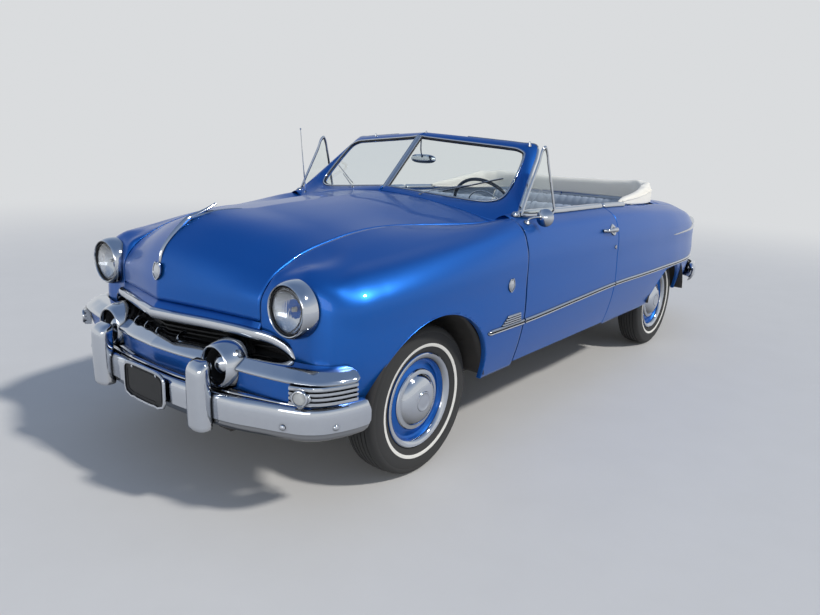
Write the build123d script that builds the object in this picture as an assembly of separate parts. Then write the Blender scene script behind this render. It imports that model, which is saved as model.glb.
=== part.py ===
"""Full-size two-door convertible of the early 1950s, slab-sided, with its top folded away.

Frame of the part: millimetres, +Z up, nose towards -Y, the driver's side is +X. The origin
lies on the ground, half way between the two bumpers' tips and between the two sides.
"""

from build123d import *
import math
import os

os.makedirs("parts", exist_ok=True)

# Driving dimensions
LENGTH = 5011.0
WHEELBASE = 2896.0
TRACK = 1422.0
FRONT_OVERHANG = 880.0
TYRE_RADIUS = 343.0
SKIN = 24.0
DOOR_THICKNESS = 84.0
GAP = 8.0
PLATE_BOLTS = 177.8

NOSE_Y = -LENGTH / 2
TAIL_Y = LENGTH / 2
AXLE_F = NOSE_Y + FRONT_OVERHANG
AXLE_R = AXLE_F + WHEELBASE
HUB_X = TRACK / 2
HUB_Z = TYRE_RADIUS
SIDES = (("left", 1), ("right", -1))

# Panel breaks along the car
DOOR_FRONT = -976.0
DOOR_REAR = 124.0
DOOR_BOTTOM = 392.0
COWL_REAR = -840.0
FENDER_REAR = DOOR_FRONT - GAP
HOOD_REAR = -992.0
DECK_FRONT = 1262.0


def line(a, b):
    return Edge.make_line(a, b)


def bowed(a, b, rise, centre):
    """Arc from a to b whose middle stands out by rise, away from the point centre."""
    a, b, c = Vector(*a), Vector(*b), Vector(*centre)
    mid = (a + b) * 0.5
    out = mid - c
    along = (b - a).normalized()
    out = (out - along * out.dot(along)).normalized()
    return Edge.make_three_point_arc(a, mid + out * rise, b)


def fill(edges):
    return Face(Wire(edges))


def block(x0, x1, y0, y1, z0, z1):
    size = (x1 - x0, y1 - y0, z1 - z0)
    return Pos((x0 + x1) / 2, (y0 + y1) / 2, (z0 + z1) / 2) * Box(*size)


def across(points, x0, x1):
    """Polygon of (y, z) points carried across the car from x0 to x1."""
    sketch = Plane.YZ.offset(x0) * Polygon(*points, align=None)
    return extrude(sketch, x1 - x0, dir=(1, 0, 0))


def upward(points, z0, z1):
    """Polygon of (x, y) points carried up from z0 to z1."""
    return extrude(Pos(0, 0, z0) * Polygon(*points, align=None), z1 - z0, dir=(0, 0, 1))


def offset(plan, depth):
    """Plan curve from the centre line outwards, moved towards the car's inside by depth."""
    moved = [(plan[0][0], plan[0][1] + depth)]
    for before, (x, y), after in zip(plan, plan[1:], plan[2:] + plan[-1:]):
        tx, ty = after[0] - before[0], after[1] - before[1]
        scale = depth / math.hypot(tx, ty)
        moved.append((x - ty * scale, y + tx * scale))
    return moved


def stack(plan, back, levels):
    """Loft between a plan curve and the line y = back; each level is (z, depth moved inwards)."""
    faces = []
    for z, depth in levels:
        front = [(x, y, z) for x, y in offset(plan, depth)]
        outline = front + [(front[-1][0], back, z), (front[0][0], back, z)]
        faces.append(fill([line(a, b) for a, b in zip(outline, outline[1:] + outline[:1])]))
    return loft(faces, ruled=True)


def rod(a, b, radius):
    a, b = Vector(*a), Vector(*b)
    plane = Plane(origin=a, z_dir=b - a)
    return extrude(plane * Circle(radius), (b - a).length)


def across_disc(y, z, radius, x0, x1):
    return extrude(Plane.YZ.offset(x0) * Pos(y, z) * Circle(radius), x1 - x0)


def flip(shape):
    return mirror(shape, Plane.YZ)


def save(name, *shapes):
    solids = []
    for shape in shapes:
        solids.extend(shape.solids())
    body = solids[0] if len(solids) == 1 else Compound(children=solids)
    body.label = name
    export_step(body, os.path.join("parts", name + ".step"))
    return body


# Cross sections of the body. Each row is one station along the car:
# y, sill half-width and height, widest half-width and its height, where the shoulder starts,
# where it ends, and the height of the crown on the centre line
FRONT_SECTIONS = (
    # y, sill_x, sill_z, wide_x, wide_z, side_x, side_z, top_x, top_z, crown
    (-2320, 716, 500, 764, 640, 752, 838, 640, 908, 920),
    (-2236, 728, 488, 778, 636, 770, 852, 668, 942, 957),
    (-2180, 752, 470, 806, 630, 800, 872, 680, 958, 972),
    (-2050, 800, 430, 850, 620, 842, 890, 706, 978, 992),
    (-1850, 830, 372, 884, 610, 874, 915, 738, 1003, 1016),
    (-1600, 848, 368, 902, 610, 890, 944, 764, 1032, 1044),
    (-1300, 852, 366, 908, 610, 896, 974, 786, 1066, 1076),
    (FENDER_REAR, 852, 366, 908, 610, 894, 1000, 800, 1102, 1120),
)
REAR_SECTIONS = (
    (FENDER_REAR, 852, 366, 908, 610, 894, 1000, 800, 1104, 1186),
    (-400, 852, 366, 908, 610, 892, 996, 800, 1102, 1160),
    (300, 850, 368, 906, 610, 890, 990, 794, 1096, 1130),
    (900, 842, 372, 898, 612, 880, 972, 780, 1074, 1112),
    (1400, 820, 378, 878, 615, 860, 946, 748, 1044, 1090),
    (1850, 768, 392, 822, 620, 802, 904, 688, 1002, 1052),
    (2150, 684, 415, 738, 625, 716, 862, 600, 956, 1004),
    (2320, 595, 440, 648, 630, 626, 810, 520, 898, 940),
    (2392, 508, 470, 560, 635, 540, 760, 450, 836, 868),
)


def body_section(row, inset, floor_drop):
    """Left half of one station of the body, moved in by inset and down by floor_drop."""
    y, sill_x, sill_z, wide_x, wide_z, side_x, side_z, top_x, top_z, crown = row
    centre = (0, y, wide_z)
    low = (sill_x - inset, y, sill_z - floor_drop)
    wide = (wide_x - inset, y, wide_z)
    side = (side_x - inset, y, side_z - inset * 0.3)
    top = (top_x - inset * 0.5, y, top_z - inset)
    peak = (0, y, crown - inset)
    rise = peak[2] - top[2]
    radius = (top[0] ** 2 + rise ** 2) / (2 * rise)
    sag = radius - math.sqrt(radius ** 2 - top[0] ** 2 / 4)
    return fill([
        line((0, y, low[2]), low),
        bowed(low, wide, 6, centre),
        bowed(wide, side, 8, centre),
        bowed(side, top, 22, centre),
        Edge.make_three_point_arc(top, (top[0] / 2, y, peak[2] - sag), peak),
        line(peak, (0, y, low[2])),
    ])


def body_loft(rows, inset=0.0, floor_drop=0.0):
    return loft([body_section(row, inset, floor_drop) for row in rows], ruled=True)


def cored(rows, front, rear, inset):
    """What is left of the body between its skin and a core moved in by inset."""
    core_rows = ((front,) + rows[0][1:],) + rows[1:-1] + ((rear,) + rows[-1][1:],)
    return body_loft(rows) - body_loft(core_rows, inset, 2)


FRONT_PLAN = (
    # x, y of the fenders' front face, from the centre line out
    (0, -2320),
    (480, -2274),
    (560, -2252),
    (640, -2237),
    (740, -2234),
    (790, -2206),
    (822, -2160),
    (850, -2080),
    (920, -1900),
)
front_cut = upward([(x, y) for x, y in FRONT_PLAN] + [(920, -900), (0, -900)], 300, 1300)
front_core = upward([(x, y + SKIN) for x, y in FRONT_PLAN] + [(920, -900), (0, -900)], 0, 1400)
core_first, core_last = (-2400,) + FRONT_SECTIONS[0][1:], (FENDER_REAR + 1,) + FRONT_SECTIONS[-1][1:]
front_rows = (core_first,) + FRONT_SECTIONS[1:-1] + (core_last,)
front_shell = (body_loft(FRONT_SECTIONS) & front_cut) - (body_loft(front_rows, SKIN, 2) & front_core)
rear_shell = cored(REAR_SECTIONS, FENDER_REAR - 1, 2366, SKIN)
door_shell = cored(REAR_SECTIONS, FENDER_REAR - 1, 2366, DOOR_THICKNESS)

# Hood: lengthwise sections carried across the car
HOOD_SECTIONS = (
    # x, rear_z, brow_y, brow_z, nose_y, nose_z
    (0, 1184, -2262, 1084, -2404, 876),
    (140, 1178, -2240, 1056, -2370, 870),
    (300, 1163, -2203, 1020, -2326, 862),
    (470, 1134, -2158, 974, -2276, 850),
    (720, 1076, -1990, 930, -2120, 830),
)
HOOD_LIP = 786.0
HOOD_SKIN = 12.0
HOOD_SEAM = (
    # x, y of the seam between hood and fender, from the cowl forward
    (690, HOOD_REAR),
    (686, -1060),
    (650, -1200),
    (600, -1340),
    (545, -1500),
    (515, -1850),
    (498, -2120),
    (490, -2460),
)


def hood_section(row, t):
    x, rear_z, brow_y, brow_z, nose_y, nose_z = row
    keel = (x, -1700, 400)
    rear, brow = (x, HOOD_REAR, rear_z), (x, brow_y, brow_z)
    nose, lip = (x, nose_y, nose_z), (x, nose_y, HOOD_LIP)
    rear_in, brow_in = (x, HOOD_REAR, rear_z - t), (x, brow_y + t * 0.4, brow_z - t)
    nose_in, lip_in = (x, nose_y + t, nose_z), (x, nose_y + t, HOOD_LIP)
    return fill([
        bowed(rear, brow, 16, keel),
        bowed(brow, nose, 34, keel),
        line(nose, lip),
        line(lip, lip_in),
        line(lip_in, nose_in),
        bowed(nose_in, brow_in, 32, keel),
        bowed(brow_in, rear_in, 16, keel),
        line(rear_in, rear),
    ])


HOOD_BACK = ((400, -1030), (0, -1062))


def seam_prism(inset, z0, z1):
    """Column over the hood's plan, its edges moved in by inset."""
    back = [(x, y - inset) for x, y in reversed(HOOD_BACK)]
    right = back + [(x - inset, y) for x, y in HOOD_SEAM]
    left = [(-x, y) for x, y in reversed(right[1:])]
    return upward(right + left, z0, z1)


hood_half = loft([hood_section(row, HOOD_SKIN) for row in HOOD_SECTIONS]) & seam_prism(GAP / 2, 700, 1300)
ORNAMENT = ((-2300, 1046), (-2258, 1112), (-2156, 1142), (-2120, 1168), (-2096, 1150), (-1965, 1134),
            (-1960, 1108))
hood = hood_half + flip(hood_half) + across(ORNAMENT, -12, 12)
save("hood", hood)

# Fenders, open round the wheels and under the hood
ARCH_F_Y, ARCH_F_Z, ARCH_F_R = AXLE_F - 30, 362.0, 398.0
front_arch = across_disc(ARCH_F_Y, ARCH_F_Z, ARCH_F_R, -1000, 1000) + block(
    -1000, 1000, ARCH_F_Y - ARCH_F_R, ARCH_F_Y + ARCH_F_R, 100, ARCH_F_Z
)
fenders = front_shell - front_arch - seam_prism(-GAP / 2, 300, 1300)
splash = (
    block(446, 458, -2230, FENDER_REAR, 340, 880)
    + block(446, 1000, -1244, -1232, 340, 980)
    + block(446, 1000, -2112, -2100, 440, 880)
) & body_loft(FRONT_SECTIONS, SKIN / 2)
fenders = fenders - block(0, 600, -2400, -2170, 300, 700) + (splash - front_arch)
LAMP_X, LAMP_Z, LAMP_R, LAMP_BACK = 646.0, 839.0, 113.0, -2222.0
fenders = fenders - block(0, 694, -1080, FENDER_REAR + 1, 900, 1300)
fenders = fenders - rod((LAMP_X, -2400, LAMP_Z), (LAMP_X, LAMP_BACK, LAMP_Z), LAMP_R)
save("fender_left", fenders)
save("fender_right", flip(fenders))


# Windshield: two flat panes that meet in a V, in a body-coloured frame
GLASS = 6.0
PANE = ((0, -1006, 1196), (690, -874, 1136), (636, -572, 1436), (0, -712, 1478))


def slab(points, t):
    """Flat polygon of space points, with thickness t towards the rear."""
    pts = [Vector(*p) for p in points]
    normal = (pts[1] - pts[0]).cross(pts[3] - pts[0]).normalized()
    if normal.Y < 0:
        normal = normal * -1
    outline = fill([line(a, b) for a, b in zip(pts, pts[1:] + pts[:1])])
    return extrude(outline, t, dir=normal)


def flat_pane(grow):
    """The left pane, its fourth corner put into the plane of the other three."""
    low_in, low_out, high_out, high_in = [Vector(*p) for p in PANE]
    normal = (low_out - low_in).cross(high_in - low_in).normalized()
    high_out = high_out - normal * (high_out - low_in).dot(normal)
    middle = (low_in + low_out + high_out + high_in) * 0.25
    return [tuple(p + (p - middle).normalized() * grow) for p in (low_in, low_out, high_out, high_in)]


pane = slab(flat_pane(-14), GLASS)
frame_outer = slab(flat_pane(20), 34)
frame_hole = slab(flat_pane(-26), 200)
pane_frame = Pos(0, -8, 0) * frame_outer
pane_frame = pane_frame - Pos(0, -60, 0) * frame_hole
pane_frame = pane_frame & block(0, 1000, -1400, 0, 900, 1600)
PILLAR_FOOT = ((664, -898, 1122), (676, -878, 1122), (776, -900, 1122), (790, -940, 1122), (740, -960, 1122))
PILLAR_HEAD = ((632, -592, 1440), (628, -560, 1446), (644, -528, 1452), (660, -532, 1450), (652, -570, 1440))


def ringed(points):
    """Face with straight edges round a few space points, put into their mean plane."""
    plane_z = sum(p[2] for p in points) / len(points)
    flat = [(x, y, plane_z) for x, y, _ in points]
    return fill([line(a, b) for a, b in zip(flat, flat[1:] + flat[:1])])


pillar = loft([ringed(PILLAR_FOOT), ringed(PILLAR_HEAD)], ruled=True)
header = slab(((0, -712, 1484), (630, -584, 1440), (630, -532, 1456), (0, -660, 1500)), 12)
pocket = slab(flat_pane(-14), GLASS)
frame_half = (pane_frame + pillar + header) & block(0, 1000, -1400, 0, 900, 1600)
frame_both = frame_half + flip(frame_half) - pocket - flip(pocket)

# Cowl: the top panel ahead of the windshield, the firewall and the hinge pillars' panels
COWL_SECTIONS = (
    (-1090, 852, 366, 908, 610, 894, 985, 800, 1088, 1172),
) + REAR_SECTIONS[:2]
cowl_shell = body_loft(COWL_SECTIONS) - body_loft(
    ((-1091,) + COWL_SECTIONS[0][1:],) + COWL_SECTIONS[1:-1] + ((-399,) + COWL_SECTIONS[-1][1:],), SKIN, 200
)
cowl_plan = [(0, -1062 + GAP), (400, -1030 + GAP), (686, HOOD_REAR + GAP), (786, FENDER_REAR),
             (786, COWL_REAR), (0, COWL_REAR)]
cowl = cowl_shell & upward(cowl_plan, 1000, 1300)
firewall = block(0, 786, FENDER_REAR, FENDER_REAR + 14, 396, 1300) & body_loft(REAR_SECTIONS)
cowl = cowl + firewall + block(774, 786, FENDER_REAR, -560, 396, 1080)
cowl = cowl + flip(cowl)
cowl = cowl - pocket - flip(pocket) - block(-100, 100, -1000, -960, 300, 530)
save("cowl", cowl)
save("windshield_frame", frame_both - cowl)
save("windshield_glass", pane, flip(pane))

# Doors, each a whole panel with its inner face
door_zone = block(600, 1000, DOOR_FRONT, DOOR_REAR, DOOR_BOTTOM, 1300)
door = door_shell & door_zone & block(792, 1000, -2000, 2000, 0, 1300)
save("door_left", door)
save("door_right", flip(door))

# Rear body: quarters, sills, tail and the frame of the trunk opening
cabin_hole = block(-776, 776, DOOR_REAR + GAP, DECK_FRONT - 22, 700, 1400)
TRUNK_HALF = 500.0
trunk_zone = block(-TRUNK_HALF, TRUNK_HALF, DECK_FRONT, 2600, 640, 1400)
trunk_hole = block(-TRUNK_HALF - GAP, TRUNK_HALF + GAP, DECK_FRONT - GAP, 2600, 640 - GAP, 1400)
rear_arch = across_disc(AXLE_R, 240, 396, -1000, 1000) & block(-1000, 1000, 0, 2400, 100, 616)
quarters = rear_shell & block(-1000, 1000, DOOR_REAR + GAP, 2400, 300, 1300)
quarters = (quarters & block(0, 1000, 0, 2400, 300, 1300)) - cabin_hole - trunk_hole - rear_arch
sill = block(780, 854, FENDER_REAR, DOOR_REAR + GAP + 30, 372, DOOR_BOTTOM - GAP)
wheelhouse = (
    block(600, 612, 890, 1662, 560, 712)
    + block(600, 1000, 890, 1662, 700, 712)
    + block(600, 1000, 890, 902, 396, 712)
    + block(600, 1000, 1650, 1662, 396, 712)
) & body_loft(REAR_SECTIONS, SKIN / 2)
quarters = quarters + wheelhouse + sill
save("quarter_left", quarters)
save("quarter_right", flip(quarters))
trunk_lid = rear_shell & trunk_zone
save("trunk_lid", trunk_lid + flip(trunk_lid))

# Frame: side rails narrow at the front and kicked up over the rear axle
rail_plan = [
    (355, -2380), (430, -2380), (430, -1230), (545, -950), (545, 2360), (470, 2360),
    (470, -930), (355, -1200),
]
rail_side = [
    (-2380, 330), (-1950, 290), (-1200, 250), (820, 250), (1080, 420), (1480, 420),
    (1800, 330), (2360, 330), (2360, 430), (1820, 430), (1500, 520), (1040, 520),
    (760, 366), (-1180, 366), (-1930, 400), (-2380, 430),
]
rail = upward(rail_plan, 200, 600) & across(rail_side, 300, 600)
cross_front = block(-355, 355, -2360, -2300, 340, 420)
cross_engine = block(-355, 355, AXLE_F - 70, AXLE_F + 70, 262, 330)
cross_rear = block(-470, 470, 2290, 2350, 340, 420)
cross_kick = block(-470, 470, 1425, 1475, 440, 500)
diagonal = upward([(0, -60), (60, -60), (470, -560), (470, -470), (120, 0), (470, 470),
                   (470, 560), (60, 60), (0, 60)], 262, 350)
frame = rail + flip(rail) + cross_front + cross_engine + cross_rear + cross_kick
frame = frame + diagonal + flip(diagonal)
pads = block(480, 530, -700, -640, 366, 384) + block(480, 530, 400, 460, 366, 384)
pads = pads + block(480, 530, 1200, 1260, 520, 548) + block(430, 446, -1280, -1240, 340, 366)
pads = pads + block(475, 540, -730, -670, 244, 250) + block(475, 540, 450, 510, 244, 250)
frame = frame + pads + flip(pads) + block(430, 446, -1950, -1910, 340, 390)
frame = frame + block(-446, -430, -1950, -1910, 340, 390)
save("frame_rails", frame)

# Floor: pan on the frame, tunnel, heel board, raised rear floor and trunk floor
FLOOR_Z = 384.0
pan = block(-786, 786, FENDER_REAR + 14, 700, FLOOR_Z, FLOOR_Z + 12)
pan = pan + block(-786, 786, FENDER_REAR, FENDER_REAR + 14, FLOOR_Z, FLOOR_Z + 12)
tunnel = across([(-970, FLOOR_Z), (700, FLOOR_Z), (700, 450), (-500, 500), (-970, 540)], -112, 112)
tunnel_core = across([(-2000, 300), (1000, 300), (1000, 426), (-500, 490), (-2000, 600)], -100, 100)
heel = block(-700, 700, 688, 700, FLOOR_Z + 12, 560)
kick_floor = block(-600, 600, 700, 1760, 548, 560)
trunk_drop = block(-450, 450, 1760, 1772, 450, 560)
trunk_floor = block(-490, 490, 1772, 2320, 450, 462)
bulkhead = block(-600, 600, 1110, 1122, 560, 1040)
floor_pan = pan + tunnel + heel + kick_floor + trunk_drop + trunk_floor + bulkhead
floor_pan = floor_pan - tunnel_core
save("floor_pan", floor_pan)

# Front sheet metal and its chrome, each along a plan curve of (x, y) points from the centre line
NOSE_PLAN = ((0, -2431), (150, -2396), (300, -2352), (450, -2305), (561, -2264), (634, -2238))
BAR_PLAN = ((0, -2450), (200, -2436), (306, -2419), (420, -2402), (531, -2385), (672, -2359),
            (760, -2334), (830, -2290), (868, -2226), (892, -2150))


def both(half):
    return half + flip(half)


lamp_seat = rod((LAMP_X, -2345, LAMP_Z), (LAMP_X, LAMP_BACK, LAMP_Z), LAMP_R)
fender_pair = both(fenders + lamp_seat)
apron = both(stack(NOSE_PLAN[:5], -2200, ((738, 30), (HOOD_LIP - GAP, 30))))
apron = apron - both(stack(NOSE_PLAN[:5], -2190, ((730, 54), (766, 54))))
valance = both(stack(BAR_PLAN[:8], -2200, ((510, 28), (596, 16))))
valance = valance - both(stack(BAR_PLAN[:8], -2190, ((520, 44), (600, 44))))
save("front_panel", apron - fender_pair - hood, valance - fender_pair)

top_bar = both(stack(NOSE_PLAN, -2190, ((702, 10), (716, 0), (740, 4), (750, 16))))
top_bar = top_bar - both(stack(NOSE_PLAN[:5], -2180, ((690, 40), (736, 40))))
bar_tip = both(loft([
    fill([line(p, q) for p, q in zip(tip, tip[1:] + tip[:1])])
    for tip in (
        [(590, -2256, 700), (590, -2226, 700), (634, -2226, 736), (634, -2240, 736)],
        [(622, -2240, 638), (622, -2222, 638), (650, -2222, 648), (650, -2234, 648)],
    )
], ruled=True))
mid_bar = both(stack(BAR_PLAN, -2110, ((597, 8), (606, 0), (628, 2), (641, 16))))
mid_bar = mid_bar - both(stack(BAR_PLAN[:6], -2100, ((590, 90), (650, 90))))
BULLET_X, BULLET_Z = 390.0, 596.0
BULLET_OUTLINE = (
    # y, radius, from the tip of the inner cone over the rim to the back
    (-2414, 0),
    (-2396, 44),
    (-2396, 62),
    (-2418, 70),
    (-2404, 82),
    (-2370, 94),
    (-2330, 96),
    (-2290, 84),
    (-2262, 50),
    (-2256, 0),
)


def turned_ahead(outline, x, z):
    """Solid of revolution about the lengthwise axis at x and z, from (y, radius) points."""
    points = [(x + r, y, z) for y, r in outline]
    edges = [line(p, q) for p, q in zip(points, points[1:] + points[:1])]
    return revolve(fill(edges), Axis((x, 0, z), (0, 1, 0)), 360)


bullets = both(turned_ahead(BULLET_OUTLINE, BULLET_X, BULLET_Z))
END_PLAN = ((742, -2345), (774, -2330), (826, -2292), (862, -2226), (882, -2148))
end_piece = both(stack(END_PLAN, -2110, ((526, 0), (596, 0))))
chrome_low = mid_bar + bullets - fender_pair - valance
save("grille", (top_bar + bar_tip) - fender_pair - apron, chrome_low, end_piece - fender_pair - valance)

# Bumpers: blades that wrap round the corners, each with two guards
BLADE_PLAN = ((0, -2478), (200, -2470), (400, -2448), (500, -2424), (600, -2386), (700, -2348),
              (770, -2314), (820, -2262), (850, -2196), (868, -2130), (876, -2064))
FRONT_LEVELS = ((352, 14), (366, 4), (396, 0), (468, 2), (490, 10), (504, 32))


def blade(plan, levels, thick):
    """Left half of a blade: the plan curve through the levels, hollowed from behind."""
    low, high = levels[0][0], levels[-1][0]
    end_y = plan[-1][1]
    outer = stack(plan, end_y + 60, levels) & block(0, 1000, -3000, end_y, low, high)
    return outer - stack(plan, end_y + 90, ((low - 10, thick), (high + 10, thick)))


front_half = blade(BLADE_PLAN, FRONT_LEVELS, 38)
front_half = front_half - across([(-2250, 340), (-2000, 340), (-2000, 430)], 600, 1000)
GUARD_PLAN = ((-50, 62), (-52, 30), (-40, 8), (-16, 0), (16, 0), (40, 8), (52, 30), (50, 62))


def guard(x, y_tip, s, z0, z1):
    """Upright guard with a bowed face and a rounded top and foot."""
    faces = []
    for z, size in ((z0, 0.84), (z0 + 12, 1.0), (z1 - 26, 1.0), (z1 - 8, 0.9), (z1, 0.72)):
        ring = [(x + px * size, y_tip + s * (62 - (62 - py) * size), z) for px, py in GUARD_PLAN]
        faces.append(fill([line(a, b) for a, b in zip(ring, ring[1:] + ring[:1])]))
    return loft(faces, ruled=True)


GUARD_X = 358.0
front_guards = both(guard(GUARD_X, NOSE_Y, 1, 346, 606))
rear_guards = both(guard(GUARD_X, TAIL_Y, -1, 356, 606))
front_irons = both(block(380, 420, -2425, -2380, 356, 425))
REAR_PLAN = ((0, -2470), (300, -2464), (500, -2446), (620, -2412), (700, -2366), (756, -2300),
             (790, -2210), (806, -2100))
REAR_LEVELS = ((374, 10), (384, 2), (450, 0), (500, 4), (520, 12), (532, 28))
rear_half = Rot(0, 0, 180) * flip(blade(REAR_PLAN, REAR_LEVELS, 38))
rear_irons = both(block(480, 530, 2360, 2420, 378, 425))
save("front_bumper", both(front_half) + front_guards + front_irons)
save("rear_bumper", both(rear_half) + rear_guards + rear_irons)
PLATE_Y = -2489.0
plate = block(-152, 152, PLATE_Y, PLATE_Y + 16, 362, 516) - both(front_half)
for x in (-PLATE_BOLTS / 2, PLATE_BOLTS / 2):
    plate = plate - rod((x, -2500, 498), (x, -2400, 498), 3.2)
save("licence_plate", plate)

# Wheels and tyres, turned about the hub's axis: (distance outward, radius) points

def turned(points, x, y, z, s):
    """Solid of revolution about the X axis through (x, y, z); s says which side is outward."""
    outline = [(x + s * a, y, z + r) for a, r in points]
    edges = [line(p, q) for p, q in zip(outline, outline[1:] + outline[:1])]
    return revolve(fill(edges), Axis((x, y, z), (1, 0, 0)), 360)


def faceted(points, x, y, z, s, count):
    """The same turned form with count flat facets round it, one of its corners straight down."""
    rings = []
    for a, r in points:
        angles = [math.radians(360 * k / count - 90) for k in range(count)]
        rings.append([(x + s * a, y + r * math.cos(t), z + r * math.sin(t)) for t in angles])
    faces = []
    for ring, other in zip(rings, rings[1:] + rings[:1]):
        for k in range(count):
            corners = [ring[k - 1], ring[k], other[k], other[k - 1]]
            faces.append(fill([line(p, q) for p, q in zip(corners, corners[1:] + corners[:1])]))
    return Solid(Shell(faces))


TYRE_OUTLINE = (
    (-58, 205), (-60, 218), (-76, 242), (-84, 276), (-80, 312), (-64, 335), (0, TYRE_RADIUS),
    (64, 335), (80, 312), (84, 276), (76, 242), (60, 218), (58, 205),
)
WHEEL_OUTLINE = (
    (90, 0), (86, 40), (74, 84), (56, 122), (44, 128), (40, 150), (34, 176), (60, 192), (67, 216),
    (61.5, 216), (60.3, 203.4), (-60.3, 203.4), (-61.5, 216), (-67, 216), (-64, 196), (-20, 188), (14, 176),
    (22, 150), (24, 66), (-6, 66), (-6, 18), (30, 18), (30, 0),
)
KING_X = 640.0
CORNERS = (
    # name, axle y, side
    ("front_left", AXLE_F, 1),
    ("front_right", AXLE_F, -1),
    ("rear_left", AXLE_R, 1),
    ("rear_right", AXLE_R, -1),
)
for name, axle_y, s in CORNERS:
    save("tyre_" + name, faceted(TYRE_OUTLINE, s * HUB_X, axle_y, HUB_Z, s, 48))
    save("wheel_" + name, turned(WHEEL_OUTLINE, s * HUB_X, axle_y, HUB_Z, s))

DRUM_OUTLINE = ((28, 0), (28, 17.6), (-11, 17.6), (-11, 140), (-44, 150), (-50, 0))
for side, s in SIDES:
    drum = turned(DRUM_OUTLINE, s * HUB_X, AXLE_F, HUB_Z, s)
    x0, x1 = sorted((s * (KING_X - 14), s * (HUB_X - 40)))
    upright = block(x0, x1, AXLE_F - 18, AXLE_F + 18, 246, 440)
    pin = rod((s * KING_X, AXLE_F, 215), (s * KING_X, AXLE_F, 471), 9.5)
    save("knuckle_" + side, drum + upright + pin)

# Front suspension arms and rear axle with its leaf springs
def arm(z0, z1):
    plan = [(430, AXLE_F - 90), (430, AXLE_F + 90), (600, AXLE_F + 24), (654, AXLE_F + 15),
            (654, AXLE_F - 15), (600, AXLE_F - 24)]
    return upward(plan, z0, z1) - rod((KING_X, AXLE_F, 100), (KING_X, AXLE_F, 600), 10)


tower = block(400, 430, AXLE_F - 60, AXLE_F + 60, 380, 475)
lower_hanger = block(430, 446, AXLE_F - 80, AXLE_F + 80, 210, 300)
arms = arm(210, 241) + arm(445, 475) + tower + lower_hanger
save("front_suspension", (arms - frame), (flip(arms) - frame))

axle = rod((-650, AXLE_R, HUB_Z), (650, AXLE_R, HUB_Z), 36)
axle = axle + Pos(0, AXLE_R, HUB_Z) * Sphere(126) + rod((0, 1090, 385), (0, AXLE_R, 385), 46)
spring = across([(600, 226), (1270, 284), (1950, 296), (1950, 318), (1270, 307), (600, 250)], 478, 538)
spring = spring + block(478, 538, 1930, 1950, 300, 340)
for side, s in SIDES:
    axle = axle + turned(DRUM_OUTLINE, s * HUB_X, AXLE_R, HUB_Z, s)
axle = axle + (spring - frame) + (flip(spring) - frame)
save("rear_axle", axle)

# Engine, gearbox with its shaft, radiator, exhaust and tank
engine = block(-215, 215, -1850, -1210, 380, 860) + block(-200, 200, AXLE_F - 40, AXLE_F + 40, 330, 380)
gearbox = block(-92, 92, -1210, -760, 356, 480) + rod((0, -760, 385), (0, 1090, 385), 32)
radiator = block(-290, 290, -2180, -2120, 430, 900) + block(-430, 430, -2180, -2150, 400, 440)
save("engine", engine, gearbox, radiator - frame)
exhaust = rod((-255, -1160, 226), (-255, 240, 226), 22) + rod((-255, 240, 226), (-255, 760, 226), 46)
exhaust = exhaust + rod((-255, 760, 226), (-255, 2440, 226), 22)
exhaust = exhaust + block(-275, -255, 270, 300, 226, 262) + block(-265, -245, 2300, 2320, 226, 340)
exhaust = exhaust + block(-290, -255, -1180, -1130, 226, 262)
save("exhaust", exhaust - frame)
save("fuel_tank", block(-330, 330, 1850, 2250, 290, 450))

# Cabin
front_seat = across([(-400, 396), (-440, 470), (-450, 640), (-400, 690), (10, 640), (120, 1050),
                     (180, 1085), (225, 1050), (120, 600), (100, 396)], -650, 650)
save("front_seat", front_seat - block(-130, 130, -500, 300, 390, 520))
rear_seat = across([(704, 560), (704, 700), (990, 660), (1050, 1010), (1104, 1030), (1106, 560)], -560, 560)
save("rear_seat", rear_seat)
trim = block(700, 712, DOOR_REAR + GAP, 880, 396, 1060) & body_loft(REAR_SECTIONS, SKIN + 1)
save("quarter_trim", trim, flip(trim))
BOOT_OUTLINE = ((1010, 1114), (1018, 1134), (1120, 1196), (1206, 1224), (1240, 1222), (1252, 1150), (1250, 1114))
boot = across(BOOT_OUTLINE, -690, 690) + block(-560, 560, 1122, 1236, 800, 1114)
ROLL_SECTIONS = (
    # y, inner x, ridge x, outer x, ridge z, foot z
    (430, 728, 745, 752, 1124, 1108),
    (760, 706, 722, 772, 1172, 1108),
    (1010, 680, 690, 774, 1202, 1108),
    (1236, 640, 650, 730, 1218, 1108),
)
roll = loft([
    fill([line((p[0], y, p[1]), (q[0], y, q[1])) for p, q in zip(ring, ring[1:] + ring[:1])])
    for y, ring in (
        (y, [(inner, foot), (inner, ridge - 12), (peak, ridge), (outer, foot + 6), (outer, foot)])
        for y, inner, peak, outer, ridge, foot in ROLL_SECTIONS
    )
], ruled=True)
save("top_boot", boot + roll + flip(roll))
dash = across([(-900, 1060), (-780, 1050), (-740, 980), (-760, 830), (-800, 800), (-900, 820)], -774, 774)
COLUMN_TILT = 30.0
wheel_hub = Vector(360, -535, 1080)
column_dir = Vector(0, math.cos(math.radians(COLUMN_TILT)), math.sin(math.radians(COLUMN_TILT)))
column_foot = wheel_hub - column_dir * 484
column_head = wheel_hub - column_dir * 36
column = rod(column_foot, column_head, 24)
bore = rod(wheel_hub - column_dir * 80, wheel_hub, 8.05)
save("dashboard", dash + column - bore)
wheel_plane = Plane(origin=wheel_hub, x_dir=(1, 0, 0), z_dir=column_dir)
rim = wheel_plane * Torus(206, 10)
hub = rod(wheel_hub - column_dir * 30, wheel_hub + column_dir * 14, 36)
spoke = wheel_plane * Box(400, 26, 12)
stem = rod(wheel_hub - column_dir * 70, wheel_hub, 8)
save("steering_wheel", rim + hub + spoke + stem)

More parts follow.
